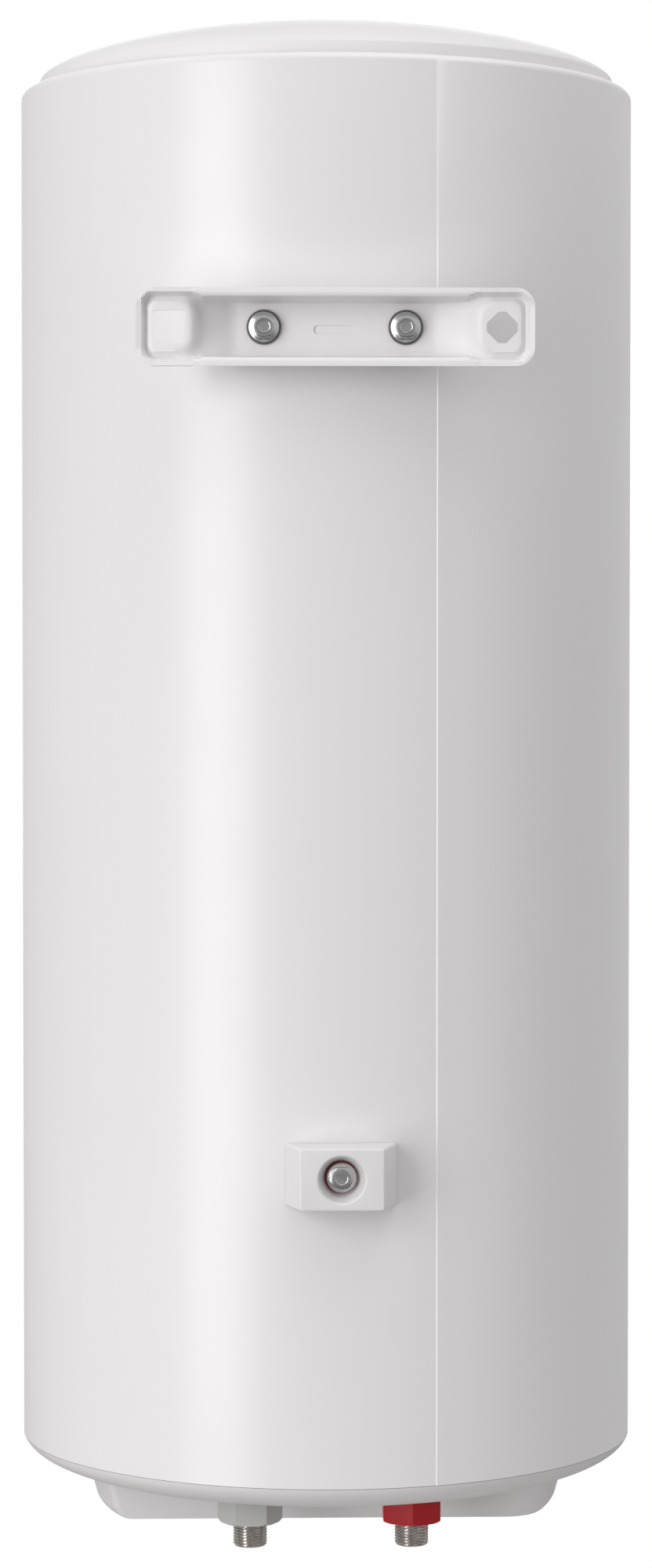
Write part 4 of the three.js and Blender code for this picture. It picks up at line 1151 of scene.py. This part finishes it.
@dataclass
class SpacerBlock:
    """The plastic block that keeps the foot of the heater off the wall."""

    heater: Heater
    face_width: float = 50 * MM
    face_height: float = 36.7 * MM
    back_width: float = 72 * MM
    back_height: float = 38.1 * MM
    back_depth: float = 36 * MM
    corner: float = 1.6 * MM
    mouth: float = 14.1 * MM
    seat: float = 10.2 * MM
    seat_depth: float = 13.2 * MM
    bolt_hole: float = 4.6 * MM
    face_edge: float = 0.9 * MM

    def build(self) -> None:
        """Makes the block with its slanted sides, its recess and its back fitted to the jacket."""
        middle = centre("spacer_bolt")
        back = self.back_depth
        bm = prism(rectangle(self.face_width, self.face_height, self.corner, 5), -back, 0)
        far = [v for v in bm.verts if v.co.z < -back / 2]
        growth = (self.back_width / self.face_width, self.back_height / self.face_height, 1)
        bmesh.ops.scale(bm, vec=growth, verts=far)
        front = [e for e in bm.edges if all(v.co.z > -MERGE_GAP for v in e.verts)]
        rounded_edges(bm, front, self.face_edge, 4)
        moved(bm, TOWARDS_WALL, shift(middle.x, 0, middle.z))
        reach = 5 * MM
        slope = (self.mouth - self.seat) / self.seat_depth
        recess = Outline([
            Corner(0, reach),
            Corner(self.mouth + slope * reach + 1.2 * MM, reach),
            Corner(self.mouth + self.face_edge, 0.2 * MM, 0.4 * MM),
            Corner(self.mouth - slope * MM, -1.0 * MM, 1.2 * MM),
            Corner(self.seat, -self.seat_depth, 0.8 * MM),
            Corner(self.bolt_hole, -self.seat_depth),
            Corner(self.bolt_hole, -2 * back),
            Corner(0, -2 * back),
        ], closed=False, arc_steps=5)
        cutter = moved(recess.turned(80), TOWARDS_WALL, shift(middle.x, 0, middle.z))
        tank_side = moved(plug(self.heater.radius + FIT_GAP, 0, self.heater.height, 240), self.heater.stand)
        piece = Piece("foot_spacer", bm).cut(Cut.AWAY, cutter, tank_side)
        piece.done(WHITE_PLASTIC, "white_plastic", "root", "lower_spacer")


# ---------------------------------------------------------------- water pipes


@dataclass
class WaterPipes:
    """The threaded pipe stubs and their hexagonal insulating sleeves."""

    pitch: float = 1.814 * MM
    thread_depth: float = 1.16 * MM
    bore: float = 7.5 * MM
    chamfer: float = 1.3 * MM
    sleeve_flats: float = 35 * MM
    sleeve_chamfer: float = 2 * MM
    neck_radius: float = 13.58 * MM
    shown_thread: float = 15 * MM
    steps_per_pitch: int = 10

    def nipple(self, name: str, node: str) -> None:
        """Makes one stub with a real helical thread on its end.

        Args:
            name: The piece's name.
            node: The node that it stands for.
        """
        low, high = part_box(node)
        radius = (high.x - low.x) / 2
        count = round(self.shown_thread / self.pitch * self.steps_per_pitch)
        rings = [low.z + self.shown_thread * i / count for i in range(count + 1)]
        profile = [(self.bore, high.z), (self.bore, low.z + 0.8 * MM), (self.bore + 0.8 * MM, low.z)]
        profile += [(radius, z) for z in rings]
        profile += [(radius, high.z)]
        bm = revolve(profile, 72)
        end = low.z + self.shown_thread
        for vert in bm.verts:
            across = math.hypot(vert.co.x, vert.co.y)
            if across < radius - 0.1 * MM or vert.co.z > end - 0.2 * MM:
                continue
            rise = vert.co.z - low.z
            turn = math.atan2(vert.co.y, vert.co.x) / FULL_TURN
            share = (rise / self.pitch - turn) % 1.0
            groove = self._groove(share) * self.thread_depth
            lead = max(self.chamfer - rise, 0.0)
            widen(vert, min(radius - groove, radius - lead) / across)
        middle = (low + high) / 2
        moved(bm, shift(middle.x, middle.y, 0))
        Piece(name, bm).done(STAINLESS, "stainless", "root", node)

    @staticmethod
    def _groove(share: float) -> float:
        """Gives the depth of a pipe thread, from 0 on its crest to 1 in its root.

        Args:
            share: How far along one pitch.

        Returns:
            The share of the full depth.
        """
        slope = abs(2 * share - 1)
        return min(max((slope - 0.12) / 0.76, 0.0), 1.0)

    def sleeve(self, name: str, node: str, finish: Finish, slot: str, hex_top: float,
               corner_to_wall: bool) -> None:
        """Makes one hexagonal sleeve with its chamfered foot and its neck.

        Args:
            name: The piece's name.
            node: The node that it stands for.
            finish: Its finish.
            slot: The record's material slot.
            hex_top: The height where its hexagon ends.
            corner_to_wall: Whether a corner or a flat faces the wall.
        """
        low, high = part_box(node)
        start = -math.pi / 2 if corner_to_wall else 0.0
        outline = polygon(self.sleeve_flats, 6, start, 1.1 * MM)
        bm = prism(outline, low.z, hex_top, high_edge=0.5 * MM)
        reach = self.sleeve_flats / math.sqrt(3)
        chamfered = Outline([
            Corner(0, low.z),
            Corner(reach - self.sleeve_chamfer, low.z, 0.7 * MM),
            Corner(reach + 0.5 * MM, low.z + self.sleeve_chamfer * 1.2),
            Corner(reach + 0.5 * MM, hex_top + MM),
            Corner(0, hex_top + MM),
        ], closed=False, arc_steps=4)
        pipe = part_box(node.replace("sleeve", "nipple"))
        bore = (pipe[1].x - pipe[0].x) / 2 + FIT_GAP
        mouth = [(0, low.z - MM), (bore + 2 * MM, low.z - MM), (bore, low.z + MM), (0, low.z + MM)]
        piece = Piece(name, bm).cut(Cut.KEEP, chamfered.turned(96))
        piece.cut(Cut.JOIN, plug(self.neck_radius, hex_top - MM, high.z, 64))
        piece.cut(Cut.AWAY, plug(bore, low.z - MM, high.z + MM, 64), revolve(mouth, 64, closed=False))
        piece.obj.data.transform(shift((low.x + high.x) / 2, (pipe[0].y + pipe[1].y) / 2, 0))
        piece.done(finish, slot, "root", node)


# ---------------------------------------------------------------- cover and controls


@dataclass
class ControlCover:
    """The plastic cover under the heater, with its dial, lamp, cord gland and screws."""

    heater: Heater
    radius: float = 153.5 * MM
    chord: float = 65 * MM
    left_corner: float = 6 * MM
    right_corner: float = 24 * MM
    wall: float = 2.5 * MM
    edge: float = 9 * MM
    back_edge: float = 3 * MM
    draft_slope: float = 0.26
    tick_count: int = 10
    tick_radius: float = 22.5 * MM
    tick_length: float = 4.5 * MM
    tick_width: float = 1.1 * MM
    tick_proud: float = 0.4 * MM
    end_tick_growth: float = 1.35
    dial_travel: float = math.radians(270)

    def cover(self, holes: Sequence[tuple[float, float, float]]) -> None:
        """Makes the drafted cover with its straight back and its round edges.

        Args:
            holes: The place and the radius of each hole in its floor, in the heater's own frame.
        """
        low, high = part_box("control_cover")
        top, floor = high.z - self.heater.foot, low.z - self.heater.foot
        bm = prism(self._outline(), floor, top)
        self._shape_wall(bm, floor, top)
        bm.normal_update()
        bmesh.ops.delete(bm, geom=[f for f in bm.faces if f.normal.z > 0.9], context="FACES_ONLY")
        piece = Piece("lower_cover", bm).sheet(self.wall)
        reach = 5 * MM
        for x, y, radius in holes:
            drill = [(0, floor - reach), (radius + MM, floor - reach), (radius + 0.4 * MM, floor - 0.1 * MM),
                     (radius, floor + 0.4 * MM), (radius, floor + reach), (0, floor + reach)]
            piece.cut(Cut.AWAY, moved(revolve(drill, 40, closed=False), shift(x, y, 0)))
        piece.obj.data.transform(self.heater.stand)
        piece.done(WHITE_PLASTIC, "white_plastic", "root", "control_cover")

    def _shape_wall(self, bm: bmesh.types.BMesh, floor: float, top: float) -> None:
        """Gives the straight wall its draft and rounds its lower edge, less at the back than at the sides.

        Args:
            bm: The cover as a straight block.
            floor: The height of its lower face.
            top: The height of its upper edge.
        """
        steps = 10
        turns = [math.pi / 2 * i / steps for i in range(steps + 1)]
        levels = {floor + self.edge * (1 - math.sin(turn)): 1 - math.cos(turn) for turn in turns}
        for level in levels:
            if level > floor + MERGE_GAP:
                sliced(bm, (0, 0, level), (0, 0, 1))
        for vert in bm.verts:
            share = next((s for level, s in levels.items() if abs(level - vert.co.z) < 10 * MERGE_GAP), 0.0)
            draft = (top - vert.co.z) * self.draft_slope * (1 - share)
            draft += (top - floor - self.edge) * self.draft_slope * share
            side = 1 - (draft + self.edge * share) / self.radius
            vert.co.x *= side
            vert.co.y *= side if vert.co.y > 0 else 1 - (draft + self.back_edge * share) / self.chord

    def _outline(self) -> Outline:
        """Gives the cover's outline: a circle cut by a straight back with two unlike round corners.

        Returns:
            The outline, made of three arcs.
        """
        left_x, left_y, left_turn = self._corner_place(self.left_corner)
        right_x, right_y, right_turn = self._corner_place(self.right_corner)
        places = [
            *arc(0, 0, self.radius, right_turn, math.pi - left_turn, 120),
            *arc(-left_x, left_y, self.left_corner, math.pi - left_turn, 1.5 * math.pi, 8)[1:],
            *arc(right_x, right_y, self.right_corner, -math.pi / 2, right_turn, 14)[:-1],
        ]
        return Outline([Corner(across, along) for across, along in places])

    def _corner_place(self, corner: float) -> tuple[float, float, float]:
        """Finds the middle of a corner's round, and the direction from the axis to it.

        Args:
            corner: The corner's radius.

        Returns:
            The place across, the place along and the angle.
        """
        y = -(self.chord - corner)
        x = math.sqrt((self.radius - corner) ** 2 - y * y)
        return x, y, math.atan2(y, x)

    def dial_marks(self) -> None:
        """Raises a ring of ticks round the dial, longer at the two ends of its travel."""
        low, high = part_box("control_knob")
        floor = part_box("control_cover")[0].z
        marks = bmesh.new()
        for i in range(self.tick_count + 1):
            at_end = i in (0, self.tick_count)
            length = self.tick_length * (self.end_tick_growth if at_end else 1.0)
            bar = prism(rectangle(self.tick_width, length, self.tick_width * 0.4, 4), -self.tick_proud,
                        self.tick_proud / 2, low_edge=0.12 * MM, segments=2)
            turn = Matrix.Rotation(self.dial_travel * (i / self.tick_count - 0.5), 4, "Z")
            moved(bar, shift(0, self.tick_radius + length / 2 - self.tick_length / 2, 0), turn)
            mesh = bpy.data.meshes.new("tick")
            bar.to_mesh(mesh)
            bar.free()
            marks.from_mesh(mesh)
            bpy.data.meshes.remove(mesh)
        middle = (low + high) / 2
        moved(marks, shift(middle.x, middle.y, floor))
        Piece("dial_marks", marks).done(BLACK_PLASTIC, "black_plastic", "root")

    def knob(self) -> None:
        """Makes the dial: a fluted skirt, a raised grip and a pointer groove."""
        low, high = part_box("control_knob")
        radius, height = (high.x - low.x) / 2, high.z - low.z
        skirt = 2.6 * MM
        profile = Outline([
            Corner(0, 0),
            Corner(radius, 0, 0.3 * MM),
            Corner(radius - 0.6 * MM, skirt, 0.8 * MM),
            Corner(radius * 0.62, skirt + 0.25 * MM),
            Corner(0, skirt + 0.25 * MM),
        ], closed=False)
        disc = profile.turned(144)
        fluted(disc, 36, 0.5 * MM, radius - 1.6 * MM)
        grip = prism(rectangle(7 * MM, 2 * radius - 4 * MM, 3.2 * MM, 8), skirt - MM, height,
                     high_edge=1.2 * MM, segments=4)
        pointer = prism(rectangle(1.3 * MM, 9 * MM, 0.6 * MM, 5), height - 0.5 * MM, height + MM)
        moved(pointer, shift(0, radius - 8 * MM, 0))
        socket = plug(3 * MM + FIT_GAP, -MM, skirt + 2.3 * MM, 32)
        piece = Piece("dial_knob", disc).cut(Cut.JOIN, grip).cut(Cut.AWAY, pointer, socket)
        middle = (low + high) / 2
        piece.obj.data.transform(shift(middle.x, middle.y, high.z) @ UPSIDE_DOWN)
        piece.done(WHITE_PLASTIC, "white_plastic", "knob", "control_knob")

    def gland(self) -> None:
        """Makes the cord gland with its fluted collar."""
        low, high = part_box("cord_gland")
        outer, height = (high.x - low.x) / 2, high.z - low.z
        bore, body, proud = 4 * MM, 7.6 * MM, 6 * MM
        profile = Outline([
            Corner(bore, height),
            Corner(body, height),
            Corner(body, proud),
            Corner(outer, proud, 0.3 * MM),
            Corner(outer, 2 * MM, 1.4 * MM),
            Corner(bore + 2.4 * MM, 0, 0.8 * MM),
            Corner(bore, 0, 0.6 * MM),
        ])
        bm = profile.turned(96)
        fluted(bm, 16, 0.7 * MM, body + MM)
        middle = (low + high) / 2
        moved(bm, shift(middle.x, middle.y, low.z))
        Piece("gland_body", bm).done(BLACK_PLASTIC, "black_plastic", "root", "cord_gland")

    def lamp(self) -> None:
        """Makes the neon lamp's lens with its domed face and its inner flange."""
        low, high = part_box("lamp_lens")
        flange, height = (high.x - low.x) / 2, high.z - low.z
        radius = 4 * MM
        profile = Outline([
            Corner(0, 0),
            Corner(radius - 1.4 * MM, 0.1 * MM, MM),
            Corner(radius, 0.9 * MM, 0.6 * MM),
            Corner(radius, height - 1.5 * MM),
            Corner(flange, height - 1.5 * MM, 0.2 * MM),
            Corner(flange, height, 0.2 * MM),
            Corner(0, height),
        ], closed=False)
        middle = (low + high) / 2
        bm = moved(profile.turned(48), shift(middle.x, middle.y, low.z))
        Piece("neon_lens", bm).done(AMBER, "amber_lens", "root", "lamp_lens")

    def screw(self, number: int) -> None:
        """Makes one cover screw with a cross recess.

        Args:
            number: Which screw it is.
        """
        node = f"cover_screw_{number}"
        low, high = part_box(node)
        head, height = (high.x - low.x) / 2, high.z - low.z
        thick, shank = 2.4 * MM, 1.7 * MM
        profile = Outline([
            Corner(0, 0),
            Corner(head - MM, 0, 1.6 * MM),
            Corner(head, 1.2 * MM, 0.6 * MM),
            Corner(head, thick, 0.15 * MM),
            Corner(shank, thick),
            Corner(shank, height - 1.6 * MM),
            Corner(0, height),
        ], closed=False)
        long, short = 4.2 * MM, 0.9 * MM
        sizes = ((long, short), (short, long))
        slots = [prism(rectangle(*size, 0.3 * MM, 3), -MM, 1.4 * MM) for size in sizes]
        middle = (low + high) / 2
        piece = Piece(f"cross_screw_{number}", profile.turned(40))
        piece.cut(Cut.AWAY, *slots)
        piece.obj.data.transform(shift(middle.x, middle.y, low.z))
        piece.done(ZINC, "zinc_steel", "root", node)


def fluted(bm: bmesh.types.BMesh, count: int, depth: float, from_radius: float) -> None:
    """Presses round grooves into the outer part of a turned solid.

    Args:
        bm: The turned solid, about Z.
        count: How many grooves it has.
        depth: How deep they are.
        from_radius: The radius from which the solid is grooved.
    """
    for vert in bm.verts:
        across = math.hypot(vert.co.x, vert.co.y)
        if across > from_radius:
            wave = 0.5 - 0.5 * math.cos(count * math.atan2(vert.co.y, vert.co.x))
            widen(vert, 1 - depth * wave ** 2 / across)


# ---------------------------------------------------------------- pieces that keep their solids


class Inside:
    """The pieces inside the casing, which keep their solids and get their finishes."""

    FINISHES: dict[Finish, tuple[str, ...]] = {
        FOAM: ("foam_insulation",),
        TANK_ENAMEL: ("tank_shell", "flange_collar", "bracket_boss_left", "bracket_boss_right",
                      "spacer_boss"),
        ZINC: ("flange_plate", "anode_nut", "earth_screw", *(f"flange_bolt_{i}" for i in range(1, 6))),
        STAINLESS: ("hot_standpipe", "thermostat_pocket", "thermostat_spindle"),
        COPPER: ("heating_element",),
        MAGNESIUM: ("anode_rod",),
        RUBBER: ("flange_gasket",),
        CERAMIC: ("element_terminal_left", "element_terminal_right", "lamp_holder"),
        WHITE_PLASTIC: ("cold_diffuser", "terminal_block"),
        BLACK_PLASTIC: ("thermostat_body", "gland_nut"),
        RED_PLASTIC: ("reset_button",),
        WIRE_BROWN: ("live_wire", "link_wire"),
        WIRE_BLUE: ("neutral_wire",),
        WIRE_GREEN: ("earth_wire",),
        WIRE_WHITE: ("lamp_lead",),
    }

    def dress(self) -> None:
        """Gives each kept node its finish."""
        for finish, names in self.FINISHES.items():
            for name in names:
                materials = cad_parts[name].data.materials
                materials.clear()
                materials.append(finish.material())
                log.info("%s: kept, %s", name, finish.name)


# ---------------------------------------------------------------- studio


@dataclass
class Studio:
    """A pale floor, soft lights and the camera on the wall side."""

    camera_place: tuple[float, float, float] = (-0.0655, -2.281, -0.196)
    camera_pitch: float = math.radians(-1.81)
    camera_turn: float = math.radians(-1.5)
    lens: float = 89.15
    floor_height: float = -1.35
    floor_radius: float = 1.3
    backdrop: float = 1.0
    sky: float = 0.74
    horizon: float = 0.69
    ground: float = 0.05
    shade_cone: tuple[float, float] = (0.90, 0.99)
    shade_depth: float = 0.55

    def camera(self) -> None:
        """Places the camera at the height of the heater's middle, a little to its left."""
        data = bpy.data.cameras.new("camera")
        data.lens = self.lens
        data.clip_start = 0.05
        eye = bpy.data.objects.new("camera", data)
        eye.location = self.camera_place
        eye.rotation_euler = (math.pi / 2 + self.camera_pitch, 0, self.camera_turn)
        bpy.context.scene.collection.objects.link(eye)
        bpy.context.scene.camera = eye

    def lights(self) -> None:
        """Hangs a tall soft light on the left, a wide one overhead and a weak one on the room side."""
        self._panel("key", (-1.55, -1.6, -0.15), (0, 0.15, -0.28), 1.0, 2.3, 31)
        self._panel("overhead", (0.75, -0.45, 1.8), (0, 0.15, 0.0), 2.2, 1.2, 15)
        self._panel("room_fill", (0.0, 3.2, 0.4), (0, 0.22, -0.28), 1.4, 1.8, 16)
        bpy.context.scene.view_settings.view_transform = "Standard"

    @staticmethod
    def _panel(name: str, place: tuple, target: tuple, width: float, height: float, power: float) -> None:
        """Hangs one soft light panel.

        Args:
            name: The light's name.
            place: Where it hangs.
            target: The point that it faces.
            width: Its width.
            height: Its height.
            power: Its power in watts.
        """
        data = bpy.data.lights.new(name, "AREA")
        data.shape = "RECTANGLE"
        data.size = width
        data.size_y = height
        data.energy = power
        lamp = bpy.data.objects.new(name, data)
        lamp.location = place
        lamp.rotation_euler = (Vector(target) - Vector(place)).to_track_quat("-Z", "Y").to_euler()
        bpy.context.scene.collection.objects.link(lamp)

    def surroundings(self) -> None:
        """Lays the pale floor and lights the room in front of a white backdrop."""
        bm = bmesh.new()
        bmesh.ops.create_circle(bm, cap_ends=True, segments=96, radius=self.floor_radius)
        moved(bm, shift(0, 0.1, self.floor_height))
        mesh = bpy.data.meshes.new("studio_floor")
        bm.to_mesh(mesh)
        bm.free()
        mesh.materials.append(FLOOR_PAINT.material())
        floor = bpy.data.objects.new("studio_floor", mesh)
        bpy.context.scene.collection.objects.link(floor)
        self._room()

    def _room(self) -> None:
        """Lights the room: pale above, dim below and on the wall side, with a white backdrop."""
        world = bpy.data.worlds.new("studio")
        world.use_nodes = True
        tree = world.node_tree
        way = tree.nodes.new("ShaderNodeTexCoord")
        split = tree.nodes.new("ShaderNodeSeparateXYZ")
        tree.links.new(way.outputs["Generated"], split.inputs["Vector"])
        above = self._mapped(tree, split.outputs["Z"], (0.0, 1.0), (self.horizon, self.sky))
        below = self._mapped(tree, split.outputs["Z"], (-0.55, 0.0), (self.ground / self.horizon, 1.0))
        shade = self._mapped(tree, split.outputs["Y"], (-self.shade_cone[1], -self.shade_cone[0]),
                             (self.shade_depth, 1.0))
        light = self._product(tree, self._product(tree, above, below), shade)
        even = tree.nodes["Background"]
        even.inputs["Color"].default_value = (1.0, 0.995, 0.995, 1)
        tree.links.new(light, even.inputs["Strength"])
        white = tree.nodes.new("ShaderNodeBackground")
        white.inputs["Color"].default_value = (1, 1, 1, 1)
        white.inputs["Strength"].default_value = self.backdrop
        path = tree.nodes.new("ShaderNodeLightPath")
        mix = tree.nodes.new("ShaderNodeMixShader")
        tree.links.new(path.outputs["Is Camera Ray"], mix.inputs["Fac"])
        tree.links.new(even.outputs["Background"], mix.inputs[1])
        tree.links.new(white.outputs["Background"], mix.inputs[2])
        tree.links.new(mix.outputs["Shader"], tree.nodes["World Output"].inputs["Surface"])
        bpy.context.scene.world = world

    @staticmethod
    def _mapped(tree: bpy.types.NodeTree, value: bpy.types.NodeSocket, span: Point,
                result: Point) -> bpy.types.NodeSocket:
        """Maps a value smoothly from one span to another.

        Args:
            tree: The world's node tree.
            value: The value.
            span: Where the change starts and ends.
            result: What it gives at the two ends.

        Returns:
            The mapped value.
        """
        node = tree.nodes.new("ShaderNodeMapRange")
        node.interpolation_type = "SMOOTHSTEP"
        node.inputs["From Min"].default_value, node.inputs["From Max"].default_value = span
        node.inputs["To Min"].default_value, node.inputs["To Max"].default_value = result
        tree.links.new(value, node.inputs["Value"])
        return node.outputs["Result"]

    @staticmethod
    def _product(tree: bpy.types.NodeTree, first: bpy.types.NodeSocket,
                 second: bpy.types.NodeSocket) -> bpy.types.NodeSocket:
        """Multiplies two values."""
        node = tree.nodes.new("ShaderNodeMath")
        node.operation = "MULTIPLY"
        tree.links.new(first, node.inputs[0])
        tree.links.new(second, node.inputs[1])
        return node.outputs["Value"]


# ---------------------------------------------------------------- assembly


def centre(node: str) -> Vector:
    """The middle of a node's box."""
    low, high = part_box(node)
    return (low + high) / 2


def own_place(heater: Heater, node: str) -> Point:
    """The middle of a node across and along, in the heater's own frame."""
    middle = centre(node)
    return middle.x - heater.axis_x, middle.y - heater.axis_y


def main() -> None:
    """Builds the heater's pieces in order and sets up the studio."""
    logging.basicConfig(level=logging.INFO, format="%(name)s: %(message)s")
    studio = Studio()
    studio.camera()
    studio.surroundings()
    studio.lights()
    heater = Heater.from_frame()
    bolts = [centre("bracket_bolt_left"), centre("bracket_bolt_right")]
    spacer_bolt = centre("spacer_bolt")
    pipes = [own_place(heater, "cold_nipple"), own_place(heater, "hot_nipple")]
    screws = [own_place(heater, f"cover_screw_{i}") for i in (1, 2, 3)]

    casing = Casing(heater)
    casing.jacket([(b.x, b.z) for b in (*bolts, spacer_bolt)])
    casing.top_cap()
    water = WaterPipes()
    cover_low, cover_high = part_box("control_cover")
    cap_depth = heater.foot - cover_high.z - FIT_GAP
    post_end = cover_low.z - heater.foot + 2.8 * MM
    control = ControlCover(heater)
    sleeve_corner = water.sleeve_flats / math.sqrt(3)
    flat = max(math.hypot(*pipes[1]) + sleeve_corner + casing.pad_border / 2, control.radius + MM)
    casing.bottom_cap(cap_depth, flat, pipes, sleeve_corner, water.neck_radius + FIT_GAP, screws, post_end)

    WallBracket().build([(b.x, b.z) for b in bolts])
    bolt = MountBolt()
    for side in Side:
        word = side.name.lower()
        # The washers' near-black colour is partly painted shade round the bolt heads.
        bolt.washer(f"dark_washer_{word}", f"bracket_washer_{word}", WASHER_TONE_AND_SHADE, "dark_zinc")
        bolt.bolt(f"hanging_bolt_{word}", f"bracket_bolt_{word}")
    SpacerBlock(heater).build()
    bolt.washer("red_washer", "spacer_fibre_washer", RED_FIBRE, "red_fibre", (-0.28 * MM, 0.24 * MM))
    bolt.bolt("foot_bolt", "spacer_bolt")

    hex_top = heater.foot - cap_depth - casing.pad_height - FIT_GAP
    water.nipple("cold_pipe", "cold_nipple")
    water.nipple("hot_pipe", "hot_nipple")
    water.sleeve("grey_sleeve", "cold_sleeve", GREY_PLASTIC, "grey_plastic", hex_top, corner_to_wall=False)
    water.sleeve("red_sleeve", "hot_sleeve", RED_PLASTIC, "red_plastic", hex_top, corner_to_wall=True)

    holes = [(x, y, 2.3 * MM) for x, y in screws]
    for node, radius in (("control_knob", 3.6), ("lamp_lens", 4.3), ("cord_gland", 7.9)):
        holes.append((*own_place(heater, node), radius * MM))
    control.cover(holes)
    control.dial_marks()
    control.knob()
    control.gland()
    control.lamp()
    for number in (1, 2, 3):
        control.screw(number)
    Inside().dress()


if __name__ == "__main__":
    main()
